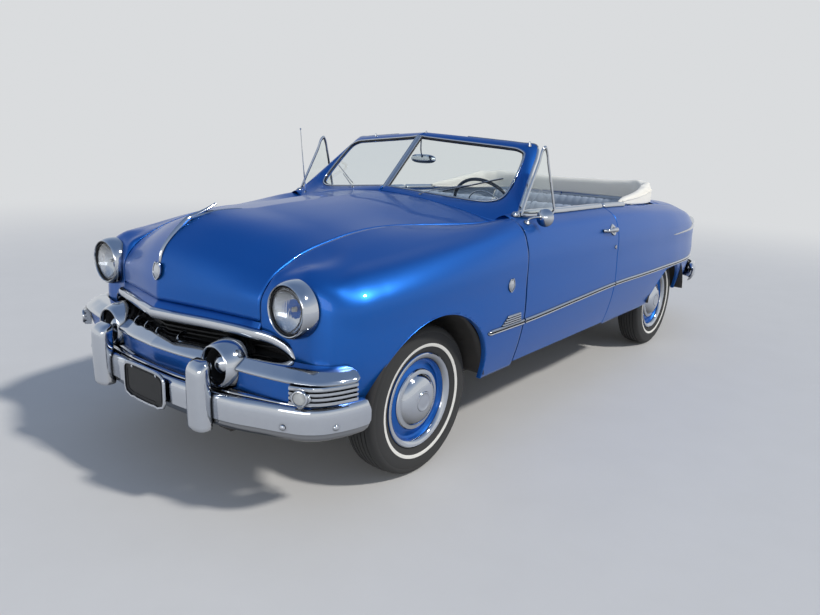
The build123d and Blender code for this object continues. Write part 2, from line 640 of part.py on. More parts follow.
# Lamps and chrome
LAMP_OUTLINE = (
    # y, radius, from the middle of the glass over the rim to the seat
    (-2290, 0),
    (-2290, 92),
    (-2286, 101),
    (-2276, 106),
    (LAMP_BACK - 0.3, LAMP_R - 0.3),
    (LAMP_BACK - 0.3, 0),
)
lamp = turned_ahead(LAMP_OUTLINE, LAMP_X, LAMP_Z)
save("headlamps", lamp, flip(lamp))
tail = rod((640, 2140, 850), (640, 2360, 850), 46) - body_loft(REAR_SECTIONS)
save("tail_lamps", tail, flip(tail))


def raised(rows, y0, y1, z0, z1, proud):
    """Strip that stands proud of the body's side between two heights."""
    strip = body_loft(rows, -proud) - body_loft(rows)
    return strip & block(700, 1000, y0, y1, z0, z1)


spear_front = raised(FRONT_SECTIONS, -1309, -990, 606, 634, 12)
spear_rear = raised(REAR_SECTIONS, 140, 1957, 606, 634, 12)
save("side_mouldings", spear_front, flip(spear_front), spear_rear, flip(spear_rear))
spear_door = raised(REAR_SECTIONS, -955, 116, 606, 634, 12)
handle = block(890, 922, -60, 40, 980, 1000) - door
vent = across([(-880, 1100), (-600, 1400), (-572, 1400), (-572, 1100)], 836, 848)
vent = vent - across([(-830, 1118), (-610, 1360), (-592, 1360), (-592, 1118)], 800, 900)
vent = vent + (block(836, 848, -880, -572, 1060, 1101) - door)
mirror_left = rod((860, -860, 1100), (866, -850, 1124), 8) + rod((868, -852, 1124), (868, -838, 1124), 44)
trim_left = [spear_door, handle, vent]
save("door_trim_left", *trim_left, mirror_left - door - vent)
save("door_trim_right", *[flip(t) for t in trim_left])
save("antenna", rod((-690, -958, 1106), (-690, -1000, 1501), 3) - cowl)
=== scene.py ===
"""Visual model of an early-1950s two-door convertible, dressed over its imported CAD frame.

All lengths in the tables are millimetres in the frame of the CAD and become metres in mm().
Nose towards -Y, the driver's side towards +X, +Z up.
"""

import logging
import math
from dataclasses import dataclass, field
from enum import Enum
from typing import Any

import bmesh
import bpy
import numpy as np
from mathutils import Matrix, Vector


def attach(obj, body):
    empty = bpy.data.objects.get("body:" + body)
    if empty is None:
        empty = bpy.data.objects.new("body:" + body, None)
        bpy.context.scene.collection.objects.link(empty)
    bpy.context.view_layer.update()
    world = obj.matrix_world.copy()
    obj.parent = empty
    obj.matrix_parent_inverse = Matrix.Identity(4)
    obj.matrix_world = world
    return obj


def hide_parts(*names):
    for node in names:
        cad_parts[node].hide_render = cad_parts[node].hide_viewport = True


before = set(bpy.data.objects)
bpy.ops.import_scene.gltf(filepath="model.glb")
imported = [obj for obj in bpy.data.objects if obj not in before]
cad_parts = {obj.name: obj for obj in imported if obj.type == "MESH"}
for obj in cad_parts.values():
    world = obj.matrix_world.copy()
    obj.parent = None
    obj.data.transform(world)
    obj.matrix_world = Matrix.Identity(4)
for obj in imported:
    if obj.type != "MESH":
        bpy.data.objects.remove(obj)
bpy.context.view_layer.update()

logging.basicConfig(level=logging.INFO, format="%(message)s")
LOG = logging.getLogger("convertible")
Array = np.ndarray
Part = tuple[Array, Any]
MERGE = 1e-5


# ---- curves and grids


def mm(points) -> Array:
    """Millimetres to metres, as an array."""
    return np.asarray(points, float) * 0.001


def xyz(x, y, z) -> Array:
    """Points from three numbers or arrays, spread out to one shape."""
    return np.stack(np.broadcast_arrays(x, y, z), axis=-1).astype(float)


def around(count: int) -> Array:
    """Angles spread evenly round a full turn."""
    return np.linspace(0, 2 * math.pi, count, endpoint=False)


def power(values: Array, exponent: float) -> Array:
    """Values raised to a power with their sign kept, as in a superellipse."""
    return np.sign(values) * np.abs(values) ** exponent


def hermite(knots, values, at) -> Array:
    """Smooth cubic through values at knots, evaluated at the positions at.

    Each span is a cubic Hermite whose slopes are the finite differences of its neighbours.
    """
    knots, values = np.asarray(knots, float), np.asarray(values, float)
    at = np.asarray(at, float)
    slopes = np.gradient(values, knots, axis=0)
    i = np.clip(np.searchsorted(knots, at) - 1, 0, len(knots) - 2)
    span = knots[i + 1] - knots[i]
    shape = (-1,) + (1,) * (values.ndim - 1)
    t = ((at - knots[i]) / span).reshape(shape)
    h = span.reshape(shape)
    t2, t3 = t * t, t * t * t
    return ((2 * t3 - 3 * t2 + 1) * values[i] + (t3 - 2 * t2 + t) * h * slopes[i] + (3 * t2 - 2 * t3)
        * values[i + 1] + (t3 - t2) * h * slopes[i + 1])


def curve(points, count: int) -> Array:
    """Smooth curve through points, count samples evenly spread along the chords."""
    points = np.asarray(points, float)
    chord = np.concatenate([[0], np.cumsum(np.linalg.norm(np.diff(points, axis=0), axis=1))])
    return hermite(chord, points, np.linspace(0, chord[-1], count))


def tensor(net, rows: int, columns: int) -> Array:
    """Smooth surface through a net of points: a cubic along its rows, then one along its columns.

    Args: net, points of shape (m, k, 3); rows and columns, the size of the grid wanted.
    Returns: grid of shape (rows, columns, 3).
    """
    net = np.asarray(net, float)
    along = np.stack([curve(net[:, j], rows) for j in range(net.shape[1])], axis=1)
    return np.stack([curve(along[i], columns) for i in range(rows)], axis=0)


def grid_faces(rows: int, columns: int, wrap_rows: bool = False, wrap_columns: bool = False) -> Array:
    """Quads of a grid of rows x columns points, closed round either way when asked."""
    i = np.arange(rows if wrap_rows else rows - 1)[:, None]
    j = np.arange(columns if wrap_columns else columns - 1)[None, :]
    i2, j2 = (i + 1) % rows, (j + 1) % columns
    quads = np.stack([i * columns + j, i2 * columns + j, i2 * columns + j2, i * columns + j2], axis=-1)
    return quads.reshape(-1, 4)


def frames_along(path: Array, up=(0, 0, 1), closed: bool = False) -> tuple[Array, Array, Array]:
    """Tangent, side and up of a path: the side is the tangent crossed with up."""
    if closed:
        tangent = np.roll(path, -1, axis=0) - np.roll(path, 1, axis=0)
    else:
        tangent = np.gradient(path, axis=0)
    tangent /= np.linalg.norm(tangent, axis=1)[:, None]
    side = np.cross(tangent, np.asarray(up, float))
    side /= np.linalg.norm(side, axis=1)[:, None]
    return tangent, side, np.cross(side, tangent)


# ---- meshes


class Shade(Enum):
    """How a mesh is shaded."""

    SMOOTH = 180.0
    EDGED = 32.0
    FLAT = 0.0


def piece(name: str, part: Part, finish: "Finish", body: str = "body", shade: Shade = Shade.EDGED,
        recalc: bool = True, wall: float = 0.0) -> bpy.types.Object:
    """Mesh object in place, dressed and riding on a body.

    Args: part, points in metres and faces; body, the CAD body it rides on; recalc, whether a
    closed mesh gets its normals turned outwards; wall, the thickness in mm that an open sheet
    whose normals point out gets inwards.
    Returns: the object.
    """
    mesh = bpy.data.meshes.new(name)
    mesh.from_pydata(part[0].tolist(), [], [list(map(int, loop)) for loop in part[1]])
    bm = bmesh.new()
    bm.from_mesh(mesh)
    bmesh.ops.remove_doubles(bm, verts=bm.verts, dist=MERGE)
    bmesh.ops.dissolve_degenerate(bm, edges=bm.edges, dist=MERGE / 2)
    if recalc and not wall:
        bmesh.ops.recalc_face_normals(bm, faces=bm.faces)
    for edge in bm.edges:
        if len(edge.link_faces) == 2 and edge.calc_face_angle(0) > math.radians(shade.value):
            edge.smooth = False
    for face in bm.faces:
        face.smooth = shade is not Shade.FLAT
    bm.to_mesh(mesh)
    bm.free()
    mesh.materials.append(finish.material())
    obj = bpy.data.objects.new(name, mesh)
    bpy.context.scene.collection.objects.link(obj)
    if wall:
        thick = obj.modifiers.new("wall", "SOLIDIFY")
        thick.thickness, thick.offset = wall * 0.001, -1.0
    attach(obj, body)
    LOG.info("%s: %d faces on %s", name, len(mesh.polygons), body)
    return obj


def pair(name: str, part: Part, finish: "Finish", body: str = "body", **how: Any) -> list:
    """A left piece and its mirror image on the right; a body that ends in _ is the side's own.

    Returns: (object, side's name) for both.
    """
    return [(piece(f"{name}_{side}", part if side == "left" else flipped(part), finish,
        body + side if body.endswith("_") else body, **how), side) for side in ("left", "right")]


def joined(*parts: Part) -> Part:
    """Several parts as one."""
    verts, faces, base = [], [], 0
    for v, f in parts:
        verts.append(v)
        faces += [[int(k) + base for k in loop] for loop in f]
        base += len(v)
    return np.concatenate(verts), faces


def flipped(part: Part, axes=(-1, 1, 1)) -> Part:
    """The mirror image of a part over the centre plane, or as axes say, its faces turned to match."""
    return part[0] * axes, [list(loop)[::-1] for loop in part[1]]


def both(part: Part) -> Part:
    """A part and its mirror image over the car's centre plane."""
    return joined(part, flipped(part))


def sheet_part(grid: Array, over: bool = False) -> Part:
    """An open grid of points in mm, its faces turned over when asked."""
    faces = grid_faces(*grid.shape[:2])
    return mm(grid).reshape(-1, 3), faces[:, ::-1] if over else faces


def loft_part(rings, caps: tuple[bool, bool] = (True, True)) -> Part:
    """Closed rings of points in mm, shape (n, k, 3), joined in order, with the end faces asked for."""
    rings = mm(rings)
    rows, count = rings.shape[:2]
    ends = [list(range(count)), [(rows - 1) * count + k for k in range(count)][::-1]]
    faces = grid_faces(rows, count, wrap_columns=True).tolist()
    return rings.reshape(-1, 3), faces + [end for end, asked in zip(ends, caps) if asked]


def prism(outline: Array, steps, centre=(0, 0, 0)) -> Part:
    """Solid along the car about centre: an outline of (x, z) points, times each step's share at its y."""
    return loft_part([xyz(outline[:, 0] * k, y, outline[:, 1] * k) + centre for y, k in steps])


def stepped(outline: Array, steps) -> Part:
    """Solid along +X about the origin: an outline of (y, z) points, times each step's share at its x."""
    return loft_part([xyz(x, outline[:, 0] * k, outline[:, 1] * k) for x, k in steps])


def turned(profile, centre=(0, 0, 0), axis: str = "x", segments: int = 96) -> Part:
    """Surface of revolution about an axis through centre, from (distance, radius) points in mm."""
    profile, angle = np.asarray(profile, float), around(segments)
    ring = xyz(profile[:, :1], profile[:, 1:] * np.cos(angle), profile[:, 1:] * np.sin(angle))
    order = {"x": [0, 1, 2], "y": [1, 0, 2], "z": [1, 2, 0]}[axis]
    points = mm(ring[..., order] + np.asarray(centre, float))
    return points.reshape(-1, 3), grid_faces(len(profile), segments, wrap_columns=True)


def circle(radius: float, count: int = 16, flat: float = 1.0) -> Array:
    """Ring of (sideways, upwards) points in mm."""
    return radius * np.stack([np.cos(around(count)), np.sin(around(count)) * flat], axis=1)


def bar_part(plan, section, samples: int = 90, mitre: bool = False, scale: Array | None = None, up=(0, 0, 1),
        closed: bool = False) -> Part:
    """Section of (outward, upward) points in mm carried along a path of points in mm.

    Each point is path + outward * side + upward * rise, both times the scale at that sample.
    Args: samples, how many the path is smoothed to, or 0 to take it as it is, like a closed one;
    mitre, whether the first ring is drawn along the path onto the centre plane, so that the
    mirror image meets it.
    """
    path = curve(plan, samples) if samples and not closed else np.asarray(plan, float)
    section = np.asarray(section, float)
    _, side, rise = frames_along(path, up, closed)
    size = np.ones(len(path)) if scale is None else scale
    grid = path[:, None] + size[:, None, None] * (side[:, None] * section[:, :1] + rise[:, None]
        * section[:, 1:])
    if mitre:
        along = path[1] - path[0]
        grid[0] -= grid[0, :, :1] / along[0] * along
    if not closed:
        return loft_part(grid, (not mitre, True))
    faces = grid_faces(len(path), len(section), wrap_rows=True, wrap_columns=True)
    return mm(grid).reshape(-1, 3), faces


def rod_part(points, radius: float, count: int = 16, smooth: int = 0) -> Part:
    """Round bar along a few points in mm, smoothed when smooth is its number of samples."""
    path = curve(points, smooth) if smooth else np.asarray(points, float)
    line = path[-1] - path[0]
    up = (0, 0, 1) if abs(line[2]) < 0.9 * np.linalg.norm(line) else (0, 1, 0)
    return bar_part(path, circle(radius, count), 0, up=up)


def tapered(count: int, start: float = 0.0, end: float = 0.0, least: float = 0.15) -> Array:
    """Sizes along a bar: 1, and a quarter ellipse down to least over a share start or end of its length."""
    t = np.linspace(0, 1, count)
    size = np.ones(count)
    for share, way in ((start, t), (end, 1 - t)):
        if share:
            near = np.clip(way / share, 0, 1)
            size = np.minimum(size, least + (1 - least) * np.sqrt(1 - (1 - near) ** 2))
    return size


def placed(part: Part, centre, ahead) -> Part:
    """A part made about the origin along +X, set at centre in mm with its +X turned to ahead."""
    x = np.asarray(ahead, float) / np.linalg.norm(ahead)
    y = np.cross((0, 0, 1) if abs(x[2]) < 0.75 else (0, 1, 0), x)
    y /= np.linalg.norm(y)
    return part[0] @ np.stack([x, y, np.cross(x, y)]) + mm(centre), part[1]


def spun(profile, segments: int, centre, ahead) -> Part:
    """Turned part at centre in mm, its (distance, radius) points reckoned along ahead."""
    return placed(turned(profile, segments=segments), centre, ahead)


def cushion_part(outline, half: float, round_off: float, pleat: float = 0.0, depth: float = 6.0,
        across: int = 125, shift: float = 0.0) -> Part:
    """Stuffed block: a closed outline of (y, z) points carried across the car from -half to half.

    A point is pulled in from the outline's normal by round_off * (1 - sqrt(1 - e^2)), with e the
    way into the rounded end, and by depth * |cos(pi x / pleat)|^12 where the outline faces the
    sitter, which sews the pleats in.
    """
    ring = curve([*outline, outline[0]], 65)[:-1]
    along = np.roll(ring, -1, axis=0) - np.roll(ring, 1, axis=0)
    normal = np.stack([along[:, 1], -along[:, 0]], axis=1)
    normal /= np.linalg.norm(normal, axis=1)[:, None]
    if np.sum((ring - ring.mean(axis=0)) * normal) < 0:
        normal = -normal
    sitter = np.clip(normal @ np.array((-0.6, 0.8)), 0, 1) ** 0.5
    t = np.linspace(-1, 1, across)
    x = half / 2 * (np.sin(t * math.pi / 2) + t)
    e = np.clip((abs(x) - (half - round_off)) / round_off, 0, 1)
    sewn = depth * np.abs(np.cos(math.pi * x / pleat)) ** 12 * (e < 0.2) if pleat else 0 * x
    moved = (round_off * (1 - np.sqrt(1 - e * e * 0.999)))[:, None] + sewn[:, None] * sitter
    section = ring - normal * moved[..., None]
    return loft_part(xyz(x[:, None] + shift, section[..., 0], section[..., 1]))


def rounded_outline(width: float, height: float, radius: float, count: int = 64) -> Array:
    """Outline of a rectangle with rounded corners, as (sideways, upwards) points in mm.

    The points go round at even angles on a superellipse whose exponent follows from the radius.
    """
    angle, exponent = around(count), 2 * radius / min(width, height)
    return np.stack([power(np.cos(angle), exponent) * width / 2, power(np.sin(angle), exponent) * height / 2],
        axis=1)


# ---- finishes


def put(node: bpy.types.Node, values: dict[str, Any]) -> bpy.types.Node:
    """Sets a node's inputs by name. Returns: the node."""
    for name, value in values.items():
        node.inputs[name].default_value = value
    return node


class Grain(Enum):
    """Surface pattern of a finish."""

    ENAMEL = "enamel"
    PLATE = "plate"
    RUBBER = "rubber"
    CLOTH = "cloth"
    HIDE = "hide"
    CAST = "cast"
    CLEAR = "clear"
    LENS = "lens"
    STONE = "stone"


@dataclass(frozen=True)
class Finish:
    """One finish: its colours, gloss and pattern."""

    name: str
    slot: str
    grain: Grain
    colour: tuple[float, float, float]
    second: tuple[float, float, float]
    metallic: float = 0.0
    roughness: float = 0.4
    spread: float = 0.1
    coat: float = 0.0
    scale: float = 60.0
    bump: float = 0.0
    transmission: float = 0.0

    def material(self) -> bpy.types.Material:
        """The finish as a node material, made once.

        Noise in object space mixes the two colours, spreads the roughness and lifts the surface.
        """
        found = bpy.data.materials.get(self.name)
        if found:
            return found
        made = bpy.data.materials.new(self.name)
        made.use_nodes = True
        tree = made.node_tree
        nodes, links = tree.nodes, tree.links
        shader = nodes["Principled BSDF"]
        put(shader, {"Metallic": self.metallic, "Coat Weight": self.coat, "Coat Roughness": 0.03,
            "Transmission Weight": self.transmission, "IOR": 1.45})
        where = nodes.new("ShaderNodeTexCoord")
        noise = put(nodes.new("ShaderNodeTexNoise"), {"Scale": self.scale, "Detail": 6.0, "Roughness": 0.6})
        links.new(where.outputs["Object"], noise.inputs["Vector"])
        mix = nodes.new("ShaderNodeMix")
        mix.data_type = "RGBA"
        put(mix, {"A": (*self.colour, 1), "B": (*self.second, 1)})
        links.new(noise.outputs["Fac"], mix.inputs["Factor"])
        links.new(mix.outputs["Result"], shader.inputs["Base Color"])
        rough = put(nodes.new("ShaderNodeMapRange"), {"To Min": max(0.01, self.roughness - self.spread / 2),
            "To Max": self.roughness + self.spread / 2})
        links.new(noise.outputs["Fac"], rough.inputs["Value"])
        links.new(rough.outputs["Result"], shader.inputs["Roughness"])
        # Bright plate gets painted shade in its hollows and on its undersides.
        if self.grain is Grain.PLATE:
            links.new(self.shaded(tree, where, mix.outputs["Result"]), shader.inputs["Base Color"])
        if self.bump:
            relief = self.relief(tree, where)
            bump = put(nodes.new("ShaderNodeBump"), {"Strength": self.bump, "Distance": 0.001})
            links.new(relief, bump.inputs["Height"])
            links.new(bump.outputs["Normal"], shader.inputs["Normal"])
        return made

    def shaded(self, tree: bpy.types.NodeTree, where: bpy.types.Node,
            colour: bpy.types.NodeSocket) -> bpy.types.NodeSocket:
        """Bright plate's colour with painted shade: darkened in its hollows and on its undersides.

        Args: colour, the clean colour. Returns: colour times the openness of the hollow, squared,
        times a ramp of the normal's height.
        """
        nodes, links = tree.nodes, tree.links
        # Painted shade: ambient occlusion darkens the hollows and a ramp of the normal's height darkens the
        # undersides, both multiplied into the colour.
        hollow, split = nodes.new("ShaderNodeAmbientOcclusion"), nodes.new("ShaderNodeSeparateXYZ")
        hollow.samples = 8
        put(hollow, {"Distance": 0.014})
        links.new(colour, hollow.inputs["Color"])
        links.new(where.outputs["Normal"], split.inputs["Vector"])
        under = nodes.new("ShaderNodeMapRange")
        under.interpolation_type = "SMOOTHSTEP"
        put(under, {"From Min": -0.75, "From Max": 0.25, "To Min": 0.22, "To Max": 1.0})
        links.new(split.outputs["Z"], under.inputs["Value"])
        depth, both_ways = nodes.new("ShaderNodeMath"), nodes.new("ShaderNodeMath")
        depth.operation, both_ways.operation = "POWER", "MULTIPLY"
        depth.inputs[1].default_value = 2.0
        links.new(hollow.outputs["AO"], depth.inputs[0])
        links.new(depth.outputs["Value"], both_ways.inputs[0])
        links.new(under.outputs["Result"], both_ways.inputs[1])
        painted_shade_tint = nodes.new("ShaderNodeVectorMath")
        painted_shade_tint.operation = "SCALE"
        links.new(colour, painted_shade_tint.inputs[0])
        links.new(both_ways.outputs["Value"], painted_shade_tint.inputs["Scale"])
        return painted_shade_tint.outputs["Vector"]

    def relief(self, tree: bpy.types.NodeTree, where: bpy.types.Node) -> bpy.types.NodeSocket:
        """Height that the bump follows: a weave, a hide's cells, or fine noise."""
        nodes, links = tree.nodes, tree.links
        if self.grain is Grain.CLOTH:
            one, two = nodes.new("ShaderNodeTexWave"), nodes.new("ShaderNodeTexWave")
            total = nodes.new("ShaderNodeMath")
            for wave, direction in ((one, "X"), (two, "Y")):
                wave.bands_direction = direction
                put(wave, {"Scale": self.scale * 3, "Distortion": 0.6})
                links.new(where.outputs["Object"], wave.inputs["Vector"])
                links.new(wave.outputs["Fac"], total.inputs[0 if wave is one else 1])
            return total.outputs["Value"]
        if self.grain is Grain.HIDE:
            cells = put(nodes.new("ShaderNodeTexVoronoi"), {"Scale": self.scale * 6})
            links.new(where.outputs["Object"], cells.inputs["Vector"])
            return cells.outputs["Distance"]
        fine = put(nodes.new("ShaderNodeTexNoise"), {"Scale": self.scale * 8, "Detail": 4.0})
        links.new(where.outputs["Object"], fine.inputs["Vector"])
        return fine.outputs["Fac"]


ENAMEL = Finish("blue_enamel", "body_blue", Grain.ENAMEL, (0.004, 0.090, 0.40), (0.010, 0.140, 0.53),
    metallic=0.76, roughness=0.38, spread=0.08, coat=0.38, scale=1400)
# Both plate finishes carry painted shade in their hollows and on their undersides, from Finish.shaded.
CHROME = Finish("bright_plate", "chrome", Grain.PLATE, (0.70, 0.73, 0.78), (0.64, 0.67, 0.72), metallic=1.0,
    roughness=0.07, spread=0.05, scale=35)
DULL_CHROME = Finish("satin_plate", "chrome", Grain.PLATE, (0.52, 0.53, 0.55), (0.44, 0.45, 0.47),
    metallic=1.0, roughness=0.28, spread=0.12, scale=80)
RUBBER = Finish("tyre_rubber", "tyre_rubber", Grain.RUBBER, (0.018, 0.018, 0.019), (0.032, 0.031, 0.03),
    roughness=0.72, spread=0.16, scale=40, bump=0.25)
WHITE_RUBBER = Finish("whitewall", "tyre_rubber", Grain.RUBBER, (0.74, 0.73, 0.69), (0.64, 0.62, 0.57),
    roughness=0.5, spread=0.1, scale=30, bump=0.1)
SEAL = Finish("black_seal", "under_black", Grain.RUBBER, (0.012, 0.012, 0.013), (0.02, 0.02, 0.02),
    roughness=0.55, spread=0.1, scale=60, bump=0.1)
UNDER = Finish("chassis_black", "under_black", Grain.CAST, (0.02, 0.02, 0.021), (0.05, 0.045, 0.04),
    roughness=0.65, spread=0.25, scale=14, bump=0.35)
STEEL = Finish("exhaust_steel", "exhaust_steel", Grain.CAST, (0.30, 0.28, 0.26), (0.20, 0.16, 0.13),
    metallic=0.85, roughness=0.5, spread=0.25, scale=22, bump=0.2)
SEAT = Finish("seat_vinyl", "seat_vinyl", Grain.HIDE, (0.20, 0.27, 0.38), (0.24, 0.31, 0.42), roughness=0.42,
    spread=0.1, coat=0.1, scale=70, bump=0.25)
PIPING = Finish("white_piping", "boot_vinyl", Grain.HIDE, (0.72, 0.71, 0.66), (0.66, 0.64, 0.58),
    roughness=0.45, spread=0.1, scale=70, bump=0.1)
CREAM = Finish("boot_vinyl", "boot_vinyl", Grain.CLOTH, (0.70, 0.67, 0.59), (0.63, 0.60, 0.52),
    roughness=0.62, spread=0.12, scale=90, bump=0.3)
MAT = Finish("floor_rubber", "under_black", Grain.RUBBER, (0.03, 0.045, 0.08), (0.045, 0.06, 0.10),
    roughness=0.85, spread=0.1, scale=120, bump=0.5)
CASTING = Finish("engine_casting", "under_black", Grain.CAST, (0.035, 0.09, 0.17), (0.05, 0.11, 0.20),
    metallic=0.2, roughness=0.5, spread=0.2, scale=40, bump=0.3)
GLASS = Finish("clear_glass", "window_glass", Grain.CLEAR, (0.93, 0.97, 0.95), (0.95, 0.98, 0.96),
    roughness=0.015, spread=0.01, scale=4, transmission=1.0)
LAMP_GLASS = Finish("lamp_glass", "window_glass", Grain.LENS, (0.96, 0.97, 0.98), (0.92, 0.94, 0.95),
    roughness=0.03, spread=0.02, scale=20, transmission=1.0)
AMBER = Finish("frosted_lens", "lamp_red", Grain.LENS, (0.55, 0.56, 0.55), (0.45, 0.46, 0.45), roughness=0.2,
    spread=0.1, scale=60, coat=0.5)
RED = Finish("red_lens", "lamp_red", Grain.LENS, (0.45, 0.008, 0.008), (0.34, 0.005, 0.006), roughness=0.12,
    spread=0.06, scale=90, coat=0.8)
PLATE = Finish("plate_black", "plate_black", Grain.ENAMEL, (0.012, 0.012, 0.013), (0.02, 0.02, 0.02),
    roughness=0.35, spread=0.1, scale=50, coat=0.3)
BAKELITE = Finish("wheel_black", "wheel_black", Grain.ENAMEL, (0.012, 0.013, 0.016), (0.018, 0.019, 0.022),
    roughness=0.22, spread=0.06, scale=50, coat=0.5)
INNER_BLUE = Finish("cabin_enamel", "cabin_paint", Grain.ENAMEL, (0.012, 0.085, 0.30), (0.018, 0.11, 0.36),
    metallic=0.5, roughness=0.3, spread=0.06, coat=0.7, scale=700)

CAD_FINISHES = {CHROME: ("antenna",), ENAMEL: ("cowl", "door_left", "door_right", "fender_left",
    "fender_right", "front_panel", "hood", "quarter_left", "quarter_right", "trunk_lid", "windshield_frame"),
    UNDER: ("frame_rails", "floor_pan", "front_suspension", "rear_axle", "engine", "fuel_tank",
    "knuckle_left", "knuckle_right"), STEEL: ("exhaust",), INNER_BLUE: ("dashboard",),
    SEAT: ("front_seat", "rear_seat", "quarter_trim"), CREAM: ("top_boot",), GLASS: ("windshield_glass",),
    PLATE: ("licence_plate",),}


# ---- the body's shape


class BodyShape:
    """Smooth skin of the car's left half, from stations along it.

    Each station row is y, sill_x, sill_z, wide_x, wide_z, side_x, side_z, top_x, top_z, crown. A
    point is found from y and v, the way round the station in mm from the sill: a cubic along the
    car through each of nine points of a station, then one round the station through those nine.
    """

    ROWS = np.array([(-2320, 716, 500, 764, 640, 752, 838, 640, 908, 920),
        (-2236, 728, 488, 778, 636, 770, 852, 668, 942, 957), (-2180, 752, 470, 806, 630, 800, 872, 680, 958,
        972), (-2050, 800, 430, 850, 620, 842, 890, 706, 978, 992), (-1850, 830, 372, 884, 610, 874, 915, 738,
        1003, 1016), (-1600, 848, 368, 902, 610, 890, 944, 764, 1032, 1050),
        (-1300, 852, 366, 908, 610, 896, 974, 786, 1066, 1110), (-984, 852, 366, 908, 610, 894, 1000, 800,
        1103, 1186), (-400, 852, 366, 908, 610, 892, 996, 800, 1102, 1160),
        (300, 850, 368, 906, 610, 890, 990, 794, 1096, 1130), (900, 842, 372, 898, 612, 880, 972, 780, 1074,
        1112), (1400, 820, 378, 878, 615, 860, 946, 748, 1044, 1090), (1850, 768, 392, 822, 620, 802, 904,
        688, 1002, 1052), (2150, 684, 415, 738, 625, 716, 862, 600, 956, 1004),
        (2320, 595, 440, 648, 630, 626, 810, 520, 898, 940), (2392, 508, 470, 560, 635, 540, 760, 450, 836,
        868),], float)
    AROUND = np.array([0, 125, 250, 445, 640, 715, 780, 1180, 1580], float)

    def __init__(self) -> None:
        """Works out the nine points of every station."""
        r = self.ROWS
        low, wide, side, top = r[:, 1:3], r[:, 3:5], r[:, 5:7], r[:, 7:9]
        peak, centre = r[:, 9:] * (0, 1), wide * (0, 1)

        def bow(a: Array, b: Array, rise: float) -> Array:
            """Middle of a to b, moved out from the station's centre by rise."""
            middle, along = (a + b) / 2, b - a
            along = along / np.linalg.norm(along, axis=1)[:, None]
            out = middle - centre
            out = out - along * np.sum(out * along, axis=1)[:, None]
            return middle + out / np.linalg.norm(out, axis=1)[:, None] * rise

        rise = peak[:, 1] - top[:, 1]
        radius = (top[:, 0] ** 2 + rise ** 2) / (2 * rise)
        sag = radius - np.sqrt(radius ** 2 - top[:, 0] ** 2 / 4)
        crown = np.stack([top[:, 0] / 2, peak[:, 1] - sag], axis=1)
        self.net = np.stack([low, bow(low, wide, 6), wide, bow(wide, side, 9), side, bow(side, top, 20), top,
            crown, peak], axis=1)

    def at(self, y, v) -> Array:
        """Points in mm for arrays y and v in mm."""
        y, v = np.broadcast_arrays(np.asarray(y, float), np.asarray(v, float))
        flat_y, flat_v = y.ravel(), v.ravel()
        ring = hermite(self.ROWS[:, 0], self.net, flat_y)
        slope = np.gradient(ring, self.AROUND, axis=1)
        j = np.clip(np.searchsorted(self.AROUND, flat_v) - 1, 0, len(self.AROUND) - 2)
        n = np.arange(len(flat_v))
        span = (self.AROUND[j + 1] - self.AROUND[j])[:, None]
        t = (flat_v[:, None] - self.AROUND[j][:, None]) / span
        a, b, sa, sb = ring[n, j], ring[n, j + 1], slope[n, j], slope[n, j + 1]
        xz = ((2 * t**3 - 3 * t**2 + 1) * a + (t**3 - 2 * t**2 + t) * span * sa + (3 * t**2 - 2 * t**3) * b
            + (t**3 - t**2) * span * sb)
        return xyz(xz[:, 0], flat_y, xz[:, 1]).reshape(y.shape + (3,))

    def v_at(self, y, height: float) -> Array:
        """v in mm at which the side reaches a height in mm, below the shoulder."""
        samples = np.linspace(0, 700, 141)
        y = np.atleast_1d(np.asarray(y, float))
        z = self.at(y[:, None], samples[None, :])[..., 2]
        return np.array([np.interp(height, row, samples) for row in z])

    def v_in(self, y, half: float) -> Array:
        """v in mm at which the top has come in to a half-width in mm."""
        samples = np.linspace(720, 1580, 173)
        y = np.atleast_1d(np.asarray(y, float))
        x = self.at(y[:, None], samples[None, :])[..., 0]
        return np.array([np.interp(-half, -row, samples) for row in x])

    def skin(self, y, z) -> Array:
        """Points in mm on the side, for arrays y and z: the station's outline read off at that height."""
        y, z = np.asarray(y, float), np.asarray(z, float)
        ring = self.at(y[:, None], np.linspace(0, 760, 153)[None, :])
        x = np.array([np.interp(h, row[:, 2], row[:, 0]) for h, row in zip(z, ring)])
        return xyz(x, y, z)


SHAPE = BodyShape()
AXLE_F, AXLE_R = -1625.5, 1270.5
HUB_X, HUB_Z = 711.0, 343.0


def arch_cut(grid: Array, keep: Array, y0: float, z0: float, r0: float, cap: float = 1e4) -> Part:
    """Side panel with its wheel opening: a circle about (y0, z0), cut off flat at cap.

    A face goes when all its corners are inside; a corner that is inside but belongs to a face that
    stays is drawn straight out onto the circle, or up onto the flat top where that is nearer.
    """
    yy, zz = grid[..., 1] - y0, grid[..., 2] - z0
    away = np.maximum(np.hypot(yy, zz), 1.0)
    inside = (grid[..., 0] > 600) & (away < r0) & (grid[..., 2] < cap)
    rows, columns = grid.shape[:2]
    faces = grid_faces(rows, columns)
    corner_in, corner_kept = inside.reshape(-1)[faces], keep.reshape(-1)[faces]
    faces = faces[~corner_in.all(axis=1) & corner_kept.all(axis=1)]
    used = np.zeros(rows * columns, bool)
    used[faces.reshape(-1)] = True
    moved = np.nonzero(used & inside.reshape(-1))[0]
    points = grid.reshape(-1, 3).copy()
    y, z, d = points[moved, 1] - y0, points[moved, 2] - z0, away.reshape(-1)[moved]
    up = (cap - points[moved, 2]) < (r0 - d)
    new_y, new_z = np.where(up, y, y * r0 / d), np.where(up, cap - z0, z * r0 / d)
    points[moved] = SHAPE.skin(y0 + new_y, z0 + new_z)
    return mm(points), faces.tolist()


# ---- camera, light and ground


